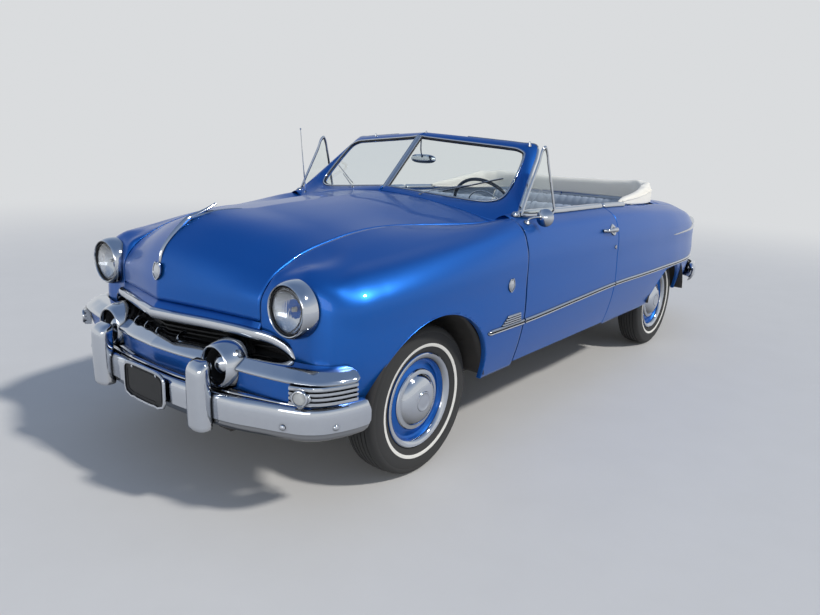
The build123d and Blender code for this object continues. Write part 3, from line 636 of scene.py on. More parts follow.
@dataclass
class Studio:
    """Camera at the photograph's angle, soft lamps, and a pale ground."""

    lens: float = 30.06
    position: tuple[float, float, float] = (2.49598, -3.89772, 1.47266)
    yaw: float = 38.3264
    pitch: float = 13.9662
    roll: float = 2.3731
    backdrop: tuple[float, float, float] = (0.70, 0.715, 0.73)

    def camera(self) -> None:
        """Camera looking along yaw and pitch, turned about its own axis by roll."""
        yaw, pitch, roll = (math.radians(a) for a in (self.yaw, self.pitch, self.roll))
        ahead = Vector((-math.sin(yaw) * math.cos(pitch), math.cos(yaw) * math.cos(pitch), -math.sin(pitch)))
        right = ahead.cross(Vector((0, 0, 1))).normalized()
        above = right.cross(ahead)
        right2 = right * math.cos(roll) + above * math.sin(roll)
        above2 = above * math.cos(roll) - right * math.sin(roll)
        data = bpy.data.cameras.new("camera")
        data.sensor_width, data.sensor_fit, data.lens = 36.0, "HORIZONTAL", self.lens
        data.clip_end = 200
        obj = bpy.data.objects.new("camera", data)
        turn = Matrix((right2, above2, -ahead)).transposed().to_4x4()
        obj.matrix_world = Matrix.Translation(self.position) @ turn
        bpy.context.scene.collection.objects.link(obj)
        bpy.context.scene.camera = obj

    def lamps(self) -> None:
        """Soft sun from behind the driver's side, high up, and a wide weak lamp in front."""
        sun = bpy.data.lights.new("sun", "SUN")
        sun.energy, sun.angle, sun.color = 2.3, math.radians(5), (1.0, 0.97, 0.92)
        front = bpy.data.lights.new("front", "AREA")
        front.shape, front.size, front.size_y, front.energy = "RECTANGLE", 5.0, 1.6, 60
        for data, place, aim in ((sun, (6.4, 1.4, 7.4), (0.2, -0.5, 0.6)),
                (front, (2.5, -8.0, 2.6), (0.3, -1.5, 0.6))):
            obj = bpy.data.objects.new(data.name, data)
            turn = (Vector(aim) - Vector(place)).to_track_quat("-Z", "Y").to_matrix().to_4x4()
            obj.matrix_world = Matrix.Translation(place) @ turn
            bpy.context.scene.collection.objects.link(obj)

    def world(self) -> None:
        """Backdrop for every ray: pale round the rim, where the camera looks, and a deeper blue above."""
        world = bpy.data.worlds.new("studio")
        world.use_nodes = True
        bpy.context.scene.world = world
        nodes, links = world.node_tree.nodes, world.node_tree.links
        where, split = nodes.new("ShaderNodeTexCoord"), nodes.new("ShaderNodeSeparateXYZ")
        ramp = nodes.new("ShaderNodeValToRGB")
        links.new(where.outputs["Generated"], split.inputs["Vector"])
        links.new(split.outputs["Z"], ramp.inputs["Fac"])
        ramp.color_ramp.elements[0].position, ramp.color_ramp.elements[0].color = 0.0, (*self.backdrop, 1)
        ramp.color_ramp.elements[1].position, ramp.color_ramp.elements[1].color = 0.9, (0.15, 0.22, 0.36, 1)
        for at, colour in ((0.24, self.backdrop), (0.34, (0.52, 0.57, 0.64)), (0.6, (0.28, 0.36, 0.50))):
            ramp.color_ramp.elements.new(at).color = (*colour, 1)
        links.new(ramp.outputs["Color"], nodes["Background"].inputs["Color"])

    def ground(self) -> None:
        """Round pale floor, a fan of rings, that fades into the background colour far from the car."""
        angle = np.linspace(0, 2 * math.pi, 96, endpoint=False)
        radius = np.array([0.0, 3, 6, 12, 30, 60])
        grid = xyz(radius[:, None] * np.cos(angle), radius[:, None] * np.sin(angle), 0)
        mesh = bpy.data.meshes.new("ground")
        mesh.from_pydata(grid.reshape(-1, 3).tolist(), [], grid_faces(len(radius), 96, wrap_columns=True)[:,
            ::-1].tolist())
        stone = Finish("pale_ground", "under_black", Grain.STONE, (0.600, 0.590, 0.575), (0.645, 0.635, 0.62),
            roughness=0.85, spread=0.1, scale=3)
        made = stone.material()
        nodes, links = made.node_tree.nodes, made.node_tree.links
        where, away = nodes.new("ShaderNodeTexCoord"), nodes.new("ShaderNodeVectorMath")
        away.operation = "LENGTH"
        links.new(where.outputs["Object"], away.inputs[0])
        fade = nodes.new("ShaderNodeMapRange")
        fade.interpolation_type = "SMOOTHSTEP"
        put(fade, {"From Min": 4.5, "From Max": 12.0})
        links.new(away.outputs["Value"], fade.inputs["Value"])
        glow, mix = nodes.new("ShaderNodeEmission"), nodes.new("ShaderNodeMixShader")
        put(glow, {"Color": (*self.backdrop, 1)})
        links.new(fade.outputs["Result"], mix.inputs["Fac"])
        links.new(nodes["Principled BSDF"].outputs["BSDF"], mix.inputs[1])
        links.new(glow.outputs["Emission"], mix.inputs[2])
        links.new(mix.outputs["Shader"], nodes["Material Output"].inputs["Surface"])
        mesh.materials.append(made)
        obj = bpy.data.objects.new("ground", mesh)
        bpy.context.scene.collection.objects.link(obj)

    def build(self) -> None:
        """Sets the whole studio up."""
        bpy.context.scene.view_settings.view_transform = "Standard"
        self.camera()
        self.world()
        self.ground()
        self.lamps()


# ---- wheels


@dataclass
class WheelSet:
    """Tyres with a thin white ring, painted discs, bright rings and domed caps."""

    tyre_radius: float = HUB_Z
    grooves: tuple[float, ...] = (-42.0, -21.0, 0.0, 21.0, 42.0)

    def tyre_profile(self) -> list[tuple[float, float]]:
        """(outward, radius) from the inner bead over the tread to the outer bead, with grooves and rings."""
        half = [(58, 204), (61, 214), (68, 226), (75, 240), (79, 249.5), (80.2, 250.5), (82.4, 262),
            (84, 276), (83.6, 292), (81, 308), (79.5, 311), (80.2, 314), (78, 322), (72, 331), (66, 335.5)]
        tread: list[tuple[float, float]] = []
        for g in self.grooves[::-1]:
            top = self.tyre_radius - (g / 62) ** 2 * 5.5
            tread += [(g + 8.5, self.tyre_radius - ((g + 8.5) / 62) ** 2 * 5.5), (g + 2.6, top),
                (g + 1.8, top - 7), (g - 1.8, top - 7), (g - 2.6, top)]
        tread.append((-50.5, self.tyre_radius - 3.7))
        return [(-a, r) for a, r in half] + tread[::-1] + half[::-1] + [(-half[0][0], half[0][1])]

    def build(self) -> None:
        """Makes the four wheels."""
        ring = [(79.3, 247), (80.9, 249), (82.2, 257), (82.6, 262), (81.0, 263), (78.5, 252), (79.3, 247)]
        disc = [(66, 216), (67.5, 213), (64, 206), (58, 196), (48, 188), (38, 182), (33, 172), (35, 160),
            (40, 150), (44, 140), (44, 118), (30, 100), (24, 60), (-6, 60), (-6, 18), (-60, 18), (-60, 60),
            (0, 80), (20, 130), (18, 168), (-10, 186), (-60, 196), (-66, 214), (-62, 217), (66, 216)]
        bright = [(66.5, 214.5), (70.5, 216), (72.5, 212), (71, 203), (66, 193), (58, 186), (54, 185),
            (54, 187), (62, 195), (66, 205), (66.5, 214.5)]
        cap = [(36, 140), (47, 140.5), (52, 136), (54, 126), (55, 118), (59, 114), (66, 108), (75, 94),
            (82, 76), (86.5, 56), (87.5, 46), (89.5, 44), (90, 40), (88.5, 37), (89.2, 24), (89.8, 12),
            (90, 0)]
        for end, y in (("front", AXLE_F), ("rear", AXLE_R)):
            for name, profile, finish, node in (("tread", self.tyre_profile(), RUBBER, "tyre_"),
                    ("white_ring", ring, WHITE_RUBBER, ""), ("disc", disc, ENAMEL, "wheel_"),
                    ("rim_ring", bright, CHROME, "")):
                part = turned(profile, (HUB_X, y, HUB_Z), segments=120)
                for obj, side in pair(f"{name}_{end}", part, finish, f"wheel_{end}_"):
                    if node:
                        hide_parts(f"{node}{end}_{side}")
            verts, faces = turned(cap, (HUB_X, y, HUB_Z), segments=120)
            for side, s in (("left", 1), ("right", -1)):
                piece(f"cap_{end}_{side}", (verts * (s, 1, 1), faces), CHROME, f"wheel_{end}_{side}", recalc=False)


# ---- panels


@dataclass
class Panels:
    """The painted skin: hood, fenders, cowl, doors, quarters, deck and trunk lid."""

    wall: float = 2.0
    gap: float = 3.0

    def __post_init__(self) -> None:
        """Works out the hood's grid, because the fenders and the cowl meet its edges."""
        self.hood_grid = self.hood_surface()
        self.edge = self.hood_grid[-1]

    def hood_surface(self) -> Array:
        """Left half of the hood in mm: lengthwise profiles spread over its width.

        A point is found from its share of the half-width at that station and the way along the
        profile: profiles at six widths are splined across, and the width follows the seam.
        """
        rows = np.array([
            # x, rear z, 1 mid z, 2 mid z, brow y, brow z, shoulder y, z, nose y, nose z, lip y, lip z
            (0, 1184, 1164, 1138, -2255, 1092, -2364, 1000, -2402, 880, -2410, 790),
            (150, 1177, 1153, 1120, -2236, 1062, -2334, 980, -2370, 876, -2372, 786),
            (300, 1163, 1135, 1098, -2200, 1024, -2290, 954, -2328, 868, -2331, 780),
            (430, 1143, 1112, 1076, -2150, 993, -2240, 936, -2290, 862, -2293, 772),
            (560, 1118, 1086, 1058, -2090, 978, -2180, 925, -2240, 850, -2250, 764),
            (700, 1080, 1052, 1034, -1990, 952, -2090, 910, -2150, 840, -2170, 758),
        ], float)
        x = rows[:, 0]
        steps, across = 100, 40
        rear_y = np.interp(x, (0, 400, 690), (-1060, -1030, -994))
        stations = [(rear_y, rows[:, 1]), (-1420, rows[:, 2]), (-1850, rows[:, 3])]
        stations += [(rows[:, k], rows[:, k + 1]) for k in (4, 6, 8, 10)]
        net = np.stack([xyz(x, y, z) for y, z in stations], axis=1)
        seam = np.array([(-2460, 486), (-2260, 488), (-2120, 494), (-1850, 511), (-1500, 541), (-1340, 596),
            (-1200, 646), (-1060, 682), (-992, 686)], float)
        seam = curve(seam[::-1], 120)[::-1]
        lines = np.stack([curve(profile, steps) for profile in net], axis=0)
        grid = np.empty((across, steps, 3))
        share = np.linspace(0, 1, across)
        half = np.interp(lines[3, :, 1], *seam.T)
        for _ in range(3):
            for j in range(steps):
                grid[:, j] = hermite(x, lines[:, j], share * half[j])
            half = np.interp(grid[-1, :, 1], *seam.T)
        grid[..., 0] = share[:, None] * half[None, :]
        return grid

    def hood(self) -> None:
        """Hood skin with its rolled edge."""
        obj = piece("hood_skin", both(sheet_part(self.hood_grid, over=True)), ENAMEL, "hood", wall=9)
        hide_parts("hood")

    def edge_at(self, height=None, y=None) -> Array:
        """Point just outside the hood's edge at a height or a y, in mm."""
        line = self.edge[np.argsort(self.edge[:, 2])] if height is not None else self.edge[::-1]
        key = 2 if height is not None else 1
        wanted = height if height is not None else y
        found = np.array([np.interp(wanted, line[:, key], line[:, k]) for k in range(3)])
        found[key] = wanted
        return found + (self.gap + 2, 0, 0)

    def fender(self) -> None:
        """Front fender: a net of points from the low edge over the shoulder to the hood's edge.

        Rows are stations round the car, from beside the nose round the corner to the door. Faces
        inside the wheel's opening go, and their neighbours' corners are drawn onto its circle.
        """
        front = [[(486, -2268, 640), (486, -2268, 680), (486, -2269, 720), 752, 776, 812, 850, 890, 922],
            [(545, -2258, 560), (545, -2256, 640), (545, -2255, 700), (544, -2256, 760), (543, -2257, 810),
            (541, -2255, 865), (532, -2243, 912), (512, -2218, 944), 949],
            [(605, -2246, 540), (605, -2242, 640), (605, -2240, 700), (605, -2239, 770), (604, -2238, 840),
            (602, -2235, 905), (590, -2212, 946), (545, -2166, 966), 971],
            [(665, -2240, 530), (668, -2238, 640), (668, -2236, 705), (668, -2234, 780), (667, -2231, 850),
            (664, -2224, 925), (650, -2185, 966), (578, -2110, 984), 989],
            [(722, -2232, 520), (728, -2232, 640), (729, -2229, 710), (728, -2226, 785), (726, -2220, 858),
            (720, -2200, 925), (692, -2130, 970), (596, -2080, 990), 1003],
            [(768, -2204, 500), (782, -2206, 638), (784, -2202, 712), (782, -2196, 790), (778, -2186, 860),
            (768, -2158, 918), (708, -2072, 975), (602, -2026, 1001), 1016],]
        rows = [np.array([p if isinstance(p, tuple) else self.edge_at(height=p) for p in r], float)
            for r in front]
        stations = np.array([-2110, -1980, -1840, -1700, -1550, -1400, -1270, -1140, -1050, -984.0])
        slant = 250 * np.clip((-1380 - stations) / 824, 0, 1)
        low_z = np.interp(stations, (-2120, -2000, -1850), (450, 412, 372))
        for y, z_low, back in zip(stations, low_z, slant):
            v = np.array([0, 125, 250, 445, 610, 715, 790], float)
            v[0] = SHAPE.v_at(y, z_low)[0]
            v[1] = (v[0] + v[2]) / 2
            side_points = SHAPE.at(y + back * np.array((0, 0, 0.01, 0.03, 0.08, 0.2, 0.58)), v)
            end = self.edge_at(y=min(y + back, -994.0))
            end[1] = y + back
            middle = (side_points[-1] + end) / 2 + (0, 0, 4.0)
            rows.append(np.vstack([side_points, middle, end]))
        grid = tensor(np.stack(rows), 200, 70)
        hole = grid[..., 2] < np.interp(grid[..., 0], (486, 561, 605, 634), (706, 690, 664, 636)) - 6
        keep = ~(hole & (grid[..., 0] < 636) & (grid[..., 1] < -2150) & (grid[..., 2] > 604))
        part = arch_cut(grid, keep, AXLE_F - 30, 362.0, 399.0)
        for obj, side in pair("fender_skin", part, ENAMEL, wall=self.wall):
            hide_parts("fender_" + side)
        self.lip("front", AXLE_F - 30, 362.0, 399.0)
        self.housing("front", AXLE_F - 30, 362.0, 402.0, 462.0)

    def lip(self, end: str, y0: float, z0: float, r0: float, cap: float = 0.0) -> None:
        """Rolled edge round a wheel's opening, flat at height cap: a strip turned inwards from the skin."""
        low = math.asin((385.0 - z0) / r0) if cap else 0.02
        angle = np.linspace(low, math.pi - low, 120)
        y, z = y0 + r0 * np.cos(angle), z0 + r0 * np.sin(angle)
        inward = xyz(0, np.cos(angle), np.sin(angle))
        if cap:
            z = np.minimum(z, cap)
            inward = np.where((z >= cap)[:, None], (0, 0, 1.0), inward)
        skin = SHAPE.skin(y, z)
        steps = ((1.2, 0), (0.6, -1.4), (-2, -2.4), (-10, -2.8), (-24, -2.8), (-24, 0.4), (-6, 1.0), (0, 1.4))
        grid = np.stack([skin + (dx, 0, 0) + inward * dr for dx, dr in steps], axis=1)
        pair("arch_lip_" + end, loft_part(grid), ENAMEL)

    def housing(self, end: str, y0: float, z0: float, radius: float, inner: float) -> None:
        """Wheel housing seen through the opening: an arched sheet and its inner wall."""
        low = math.asin((392 - z0) / radius)
        angle = np.linspace(low, math.pi - low, 60)
        for name, x, r in (("house", np.linspace(inner, 868, 12)[:, None], radius),
                ("wall", inner, radius * np.linspace(0.02, 1.0, 16)[:, None])):
            grid = xyz(x, y0 + r * np.cos(angle), z0 + r * np.sin(angle))
            pair(f"wheel_{name}_{end}", sheet_part(grid), UNDER, wall=1.5)

    def door(self) -> None:
        """Door: a ring at every station from the outer skin over the top and down the inner panel."""
        y = np.linspace(-976 + self.gap / 2, 124, 90)
        low = SHAPE.v_at(y, 393.0)
        share = np.linspace(0, 1, 70)
        v = low[:, None] * (1 - share) + 792 * share
        outer = SHAPE.at(y[:, None], v)
        top, foot = outer[:, -1], outer[:, 0]
        inner = np.stack([top + (-4, 0, -1), xyz(795, y, top[:, 2] - 8), xyz(793, y, 900), xyz(793, y, 560),
            xyz(800, y, 400), foot + (-5, 0, 0)], axis=1)
        for obj, side in pair("door_skin", loft_part(np.concatenate([outer, inner], axis=1)), ENAMEL,
                "door_"):
            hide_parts("door_" + side)

    def quarter(self) -> None:
        """Rear quarter with its wheel opening, the ledge beside the cabin and the deck beside the lid."""
        y = np.linspace(128, 2392, 200)
        low = np.where(y > 1500, 0.0, SHAPE.v_at(y, 380.0))
        share = np.linspace(0, 1, 61)
        v = low[:, None] * (1 - share) + 800 * share
        grid = SHAPE.at(y[:, None], v)
        part = arch_cut(grid, np.ones(grid.shape[:2], bool), AXLE_R, 240.0, 397.0, cap=616.0)
        for obj, side in pair("quarter_skin", part, ENAMEL, wall=self.wall):
            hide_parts("quarter_" + side)
        self.lip("rear", AXLE_R, 240.0, 397.0, 616.0)
        self.housing("rear", AXLE_R, HUB_Z, 376.0, 606.0)
        for name, y0, y1, half in (("ledge", 128, 1130, 776.0), ("deck_front", 1128, 1259, 2.0),
                ("deck_side", 1258, 2392, 503.0)):
            at = np.linspace(y0, y1, 80)
            inner = np.maximum(SHAPE.v_in(at, half), 802)
            deck_v = 800 * (1 - share[None, ::5]) + inner[:, None] * share[None, ::5]
            deck = SHAPE.at(at[:, None], deck_v)
            turned_down = deck[:, -1:] + ((0, 0, -3), (0, 0, -26))
            pair(name, sheet_part(np.concatenate([deck, turned_down], axis=1)), ENAMEL, wall=self.wall)
        z = np.linspace(474, 790, 40)
        ring = SHAPE.skin(0 * z + 2391, z)
        x = np.linspace(0, 1, 30)[None, :]
        inner_x = np.where(z < 634, 0.0, 503.0)[:, None]
        face = xyz(ring[:, :1] * (1 - x) + inner_x * x, 2391 + 9 * np.sin(x * math.pi / 2), z[:, None])
        pair("tail_panel", sheet_part(face[:, ::-1]), ENAMEL, wall=self.wall)

    def cowl(self) -> None:
        """Cowl from the hood's rear edge to behind the windshield's foot, with the firewall below it."""
        x = np.linspace(0, 1, 60)
        rear = self.hood_grid[:, 0]
        front = np.stack([np.interp(x, np.linspace(0, 1, len(rear)), rear[:, k]) for k in range(3)], axis=1)
        front += (0, 6, -1)
        back_x = front[:, 0] * 1.01
        back = xyz(back_x, np.interp(back_x, (0, 400, 690), (-985, -915, -860)),
            np.interp(back_x, (0, 200, 400, 600, 690), (1192, 1186, 1168, 1136, 1112)))
        t = np.linspace(0, 1, 12)[None, :, None]
        grid = front[:, None] * (1 - t) + back[:, None] * t
        grid[:, 0, 2] -= 8
        obj = piece("cowl_top", both(sheet_part(grid)), ENAMEL, wall=self.wall)
        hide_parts("cowl")
        y = np.linspace(-984, -850, 14)
        inner = SHAPE.v_in(y, 688.0)
        share = np.linspace(0, 1, 20)
        v = 790 * (1 - share) + inner[:, None] * share
        shoulder = SHAPE.at(y[:, None], v)
        blend = np.clip((share - 0.3) / 0.7, 0, 1)[None, :]
        edge_z = np.interp(y, (-984, -850), (self.edge_at(y=-994.0)[2], 1110))[:, None]
        shoulder[..., 2] = shoulder[..., 2] * (1 - blend) + edge_z * blend
        pair("cowl_shoulder", sheet_part(shoulder), ENAMEL, wall=self.wall)
        pillar = np.array([[(898, -980, z), (790, -980, z), (778, -968, z), (778, -700, z)]
            for z in np.linspace(398, 1094, 12)], float)
        pillar[:, 0, 0] = SHAPE.skin(np.full(12, -980.0), pillar[:, 0, 2])[:, 0] - 14
        pair("hinge_pillar", sheet_part(pillar), INNER_BLUE, wall=self.wall)
        wall_x = np.linspace(-786, 786, 41)
        rise = np.linspace(0, 1, 24)
        top = np.interp(abs(wall_x), (0, 690, 786), (1176, 1100, 1090))
        fire = xyz(wall_x[:, None], -974 + 10 * np.cos(wall_x[:, None] / 90) ** 8,
            398 + (top[:, None] - 398) * rise)
        piece("firewall", sheet_part(fire), UNDER, recalc=False)

    def trunk_lid(self) -> None:
        """Lid: the deck's skin over the trunk, carried over the tail's edge and down to its low edge."""
        x = np.linspace(0, 499, 36)
        y = np.array([1262, 1400, 1550, 1700, 1850, 2000, 2150, 2240, 2320, 2372], float)
        v = np.linspace(640, 1580, 189)
        ring = SHAPE.at(y[:, None], v[None, :])
        top = np.array([[np.interp(-a, -row[:, 0], row[:, 2]) for row in ring] for a in x])
        keys = [xyz(x, at, top[:, k]) for k, at in enumerate(y)]
        last = top[:, -1]
        keys += [xyz(x, at, last * (1 - t) + 641 * t) for at, t in ((2396, 0.14), (2403, 0.36), (2404, 0.68),
            (2402, 1.0))]
        net = np.stack(keys, axis=1)
        grid = np.stack([curve(row, 80) for row in net])
        obj = piece("lid_skin", both(sheet_part(grid)), ENAMEL, "trunk_lid", wall=3.0)
        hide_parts("trunk_lid")
        handle = [(-1, 2412, 668), (-1, 2418, 684), (-1, 2418, 712), (-1, 2412, 726)]
        piece("lid_handle", bar_part(handle, circle(7, 12), 24, up=(1, 0, 0), scale=tapered(24, 0.2, 0.2)),
            CHROME, "trunk_lid")

    def build(self) -> None:
        """Makes every painted panel."""
        self.hood()
        self.cowl()
        self.trunk_lid()
        self.fender()
        self.door()
        self.quarter()


# ---- front end


def along_x(line: Any, x: Array) -> Array:
    """y and z in mm of a line of (x, y, z) points, read off at the positions x."""
    line = np.asarray(line, float)
    return np.array([np.interp(x, line[:, 0], line[:, k]) for k in (1, 2)])


@dataclass
class FrontEnd:
    """Bright work between the lamps and the bumper, the dark cavity behind it and its painted panels."""

    nose: tuple = ((0, -2434, 736), (150, -2399, 734), (300, -2355, 730), (450, -2307, 719),
        (561, -2262, 699), (607, -2244, 674), (637, -2235, 640))
    bar: tuple = ((0, -2450, 620), (200, -2436, 620), (306, -2419, 620), (420, -2402, 620), (531, -2385, 620),
        (672, -2359, 620), (760, -2334, 620), (830, -2290, 620), (868, -2226, 620), (893, -2146, 620))
    bullet: tuple = ((-2250, 46), (-2264, 74), (-2282, 92), (-2304, 101), (-2330, 103.5), (-2358, 102),
        (-2384, 97.5), (-2403, 91.5), (-2414, 86), (-2420, 81.5), (-2422, 78), (-2420, 74.5), (-2413, 71.5),
        (-2398, 70), (-2345, 68), (-2300, 50), (-2276, 34), (-2250, 46))
    bowl: tuple = ((-2399, 70), (-2394, 68.5), (-2356, 66.5), (-2346, 62), (-2342, 40), (-2341, 0))
    cone: tuple = ((-2343, 52), (-2352, 54), (-2364, 52), (-2382, 43), (-2397, 29), (-2406, 15), (-2410, 6),
        (-2411, 0))

    def mouldings(self) -> None:
        """Upper moulding with its drooping tips, and the centre bar that wraps round the corners."""
        section = ((-18, 20), (-7, 23.5), (3, 22), (10.5, 16), (14, 6), (13, -5), (8, -14), (0, -19.5),
            (-12, -20))
        size = np.interp(np.linspace(0, 1, 90), (0, 0.75, 0.93, 1), (1, 1.06, 0.92, 0.55))
        upper = piece("upper_moulding", both(bar_part(self.nose, section, mitre=True, scale=size)), CHROME)
        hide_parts("grille")
        section = ((-100, 23), (-62, 22), (-50, 20.5), (-40, 16), (-22, 5), (-8, -5), (-1, -12), (1.5, -18),
            (0, -23), (-6, -27), (-18, -29), (-34, -29), (-70, -24))
        path = curve(self.bar, 240)
        outer = path[path[:, 0] >= 462]
        size = np.minimum(np.interp(np.linspace(0, 1, 90), (0, 0.62, 0.9, 1), (1, 1, 1.13, 1.1)),
            1.13 * tapered(90, end=0.06, least=0.4))
        pieces = joined(bar_part(path[path[:, 0] <= 314], section, 50, mitre=True),
            bar_part(outer, section, 90, scale=size))
        piece("centre_bar", both(pieces), CHROME)
        strip = ((0, -2446, 507), (200, -2438, 507), (358, -2411, 506), (466, -2400, 505), (559, -2371, 504),
            (648, -2343, 503), (698, -2323, 502), (742, -2302, 501))
        section = ((-12, -5), (-4, -5.5), (2, -3), (3.5, 0), (2, 3.5), (-3, 6), (-12, 6))
        piece("valance_strip", both(bar_part(strip, section, 70, mitre=True)), CHROME)

    def ends(self) -> None:
        """Ribbed end pieces under the bar, with the round parking lamps set into them."""
        plan = ((738, -2353, 558), (774, -2337, 558), (826, -2299, 558), (862, -2235, 558), (887, -2150, 558))
        ribs = [(-26, 37), (2, 36)]
        for low in (21, 3, -15):
            ribs += [(4.5, low + 11), (4.5, low + 2), (-2.5, low), (-2.5, low - 4)]
        ribs += [(4.5, -22), (4, -33), (-2, -37), (-26, -37)]
        piece("end_ribs", both(bar_part(plan, ribs, 50)), CHROME)
        ahead = (0.42, -0.907, 0)
        centre = np.array((776, -2330, 552.0))
        lobed = circle(1, 96) * (37 + 4.5 * np.cos(4 * around(96)))[:, None]
        rim = stepped(lobed, ((0, 0.98), (7, 1.0), (11, 0.93), (12, 0.86)))
        hoop = turned([(8, 33), (15, 32.5), (19, 30), (20, 27), (18, 24.5), (8, 24.5), (8, 33)], segments=48)
        pair("parking_bezel", placed(joined(rim, hoop), centre, ahead), CHROME)
        lens = spun([(8, 25), (15, 24.5), (18, 18), (20, 9), (20.5, 0)], 48, centre, ahead)
        pair("parking_lens", lens, AMBER, recalc=False)

    def bullets(self) -> None:
        """Round nacelles with a hollow mouth and a cone inside, on the centre bar."""
        centre = (388, 0, 596)
        pair("bullet", turned(self.bullet, centre, "y", 112), CHROME)
        # The bowl's black stands in for the shade inside the mouth: painted shade.
        pair("bullet_bowl", turned(self.bowl, centre, "y", 72), SEAL, recalc=False)
        pair("bullet_cone", turned(self.cone, centre, "y", 72), CHROME, recalc=False)

    def cavity(self) -> None:
        """Black lining behind the moulding, painted shade for the dark cavity, with three dark louvres and five
        small upright blades.
        """
        x = np.linspace(-640, 640, 81)
        nose, low = along_x(self.nose, abs(x)), along_x(self.bar, abs(x))[0]
        rows = np.stack([xyz(x, nose[0] + 16, nose[1] - 14), xyz(x, 0.35 * nose[0] - 1462, nose[1] - 16),
            xyz(x, -2215, 668), xyz(x, -2212, 634), xyz(x, low + 92, 626)])
        # Painted shade: the black lining stands in for the shade in the cavity behind the moulding.
        piece("grille_shade_lining", sheet_part(rows), SEAL, wall=1.5)
        for k, (inset, z) in enumerate(((34, 704), (56, 676), (72, 652))):
            plan = [(px, py + inset, min(z, pz - 12)) for px, py, pz in self.nose[:5]]
            section = ((-9, -2.5), (0, -3.5), (2, 0), (0, 3.5), (-9, 2.5))
            piece(f"louvre_{k}", both(bar_part(plan, section, 60, mitre=True)), SEAL)
        for k, at in enumerate((-213, -119, -20, 122, 316)):
            y = float(np.interp(abs(at), x[40:], low[40:])) + 44
            path = ((at, y + 40, 668), (at, y + 24, 664), (at, y + 6, 652), (at, y - 4, 640))
            section = ((-2, -9), (2, -9), (2.6, 0), (1.6, 9), (-1.6, 9), (-2.6, 0))
            piece(f"blade_{k}", bar_part(path, section, 16, scale=tapered(16, end=0.4, least=0.3)), CHROME)

    def painted(self) -> None:
        """Apron under the hood's lip and valance between the centre bar and the bumper."""
        x = np.linspace(0, 492, 60)
        nose = along_x(self.nose, x)
        lip_y, lip_z = along_x(self.panels.hood_grid[:, -1], x)
        rows = np.stack([xyz(x, nose[0] + 12, nose[1] + 6), xyz(x, nose[0] + 6, nose[1] + 20),
            xyz(x, lip_y + 3, lip_z - 7), xyz(x, lip_y + 14, lip_z - 2), xyz(x, lip_y + 40, lip_z + 14)])
        obj = piece("front_apron", both(sheet_part(rows, over=True)), ENAMEL, wall=2)
        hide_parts("front_panel")
        path = curve(self.bar[:7] + ((800, -2315, 620),), 70)
        z = np.linspace(598, 504, 10)
        inset = np.interp(z, (504, 520, 580, 598), (30, 22, 13, 12))
        dip = 60 * np.exp(-((path[:, 0] - 388) / 72) ** 10)
        grid = np.stack([xyz(path[:, 0] * (1 - k / 1400), path[:, 1] + k + dip
            * np.clip((h - 516) / 12, 0, 1), h) for h, k in zip(z, inset)])
        piece("valance", both(sheet_part(grid)), ENAMEL, wall=2)

    def build(self, panels: Panels) -> None:
        """Makes the front end against the hood's lip."""
        self.panels = panels
        self.mouldings()
        self.ends()
        self.bullets()
        self.cavity()
        self.painted()


@dataclass
class Headlamps:
    """Round lamps in deep bright bezels, with a fluted lens over a dished reflector."""

    x: float = 646.0
    z: float = 839.0

    def build(self) -> None:
        """Makes both lamps."""
        bezel = ((-2224, 109), (-2228, 113), (-2240, 113.2), (-2256, 111.8), (-2270, 109), (-2281, 105),
            (-2288, 100.5), (-2290, 97.5), (-2288.5, 94.8), (-2283, 92.5), (-2276, 91.5), (-2262, 91.5),
            (-2240, 100), (-2224, 109))
        seal = ((-2272, 92), (-2281, 92.2), (-2284, 90), (-2282, 87), (-2275, 86), (-2272, 92))
        dish = ((-2272, 87), (-2262, 80), (-2250, 68), (-2240, 52), (-2233, 32), (-2230, 14), (-2229, 0))
        bulb = ((-2229, 0), (-2231, 9), (-2246, 9.5), (-2256, 7), (-2260, 0))
        centre = (self.x, 0, self.z)
        for rim, _ in pair("lamp_bezel", turned(bezel, centre, "y", 128), CHROME):
            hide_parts("headlamps")
        pair("lamp_seal", turned(seal, centre, "y"), SEAL)
        pair("lamp_dish", turned(dish, centre, "y"), CHROME, recalc=False)
        pair("lamp_bulb", turned(bulb, centre, "y", 24), PIPING)
        self.lens()

    def lens(self) -> None:
        """Domed lens; upright flutes follow a cosine of x, fading towards the rim."""
        r = np.linspace(0, 1, 28)[:, None]
        x, z = 87.5 * r * np.cos(around(128)), 87.5 * r * np.sin(around(128))
        dome = -13 * (1 - r ** 2)
        flutes = 0.7 * np.cos(2 * math.pi * x / 12.0) * np.clip(1.1 - r, 0, 1)
        rings = np.concatenate([xyz(x, dome - 2279 + flutes, z), xyz(x, dome - 2275, z)[::-1]])
        pair("lamp_lens", loft_part(rings + (self.x, 0, self.z), (False, False)), LAMP_GLASS)


# ---- bumpers


TO_TAIL = (1, -1, 1)


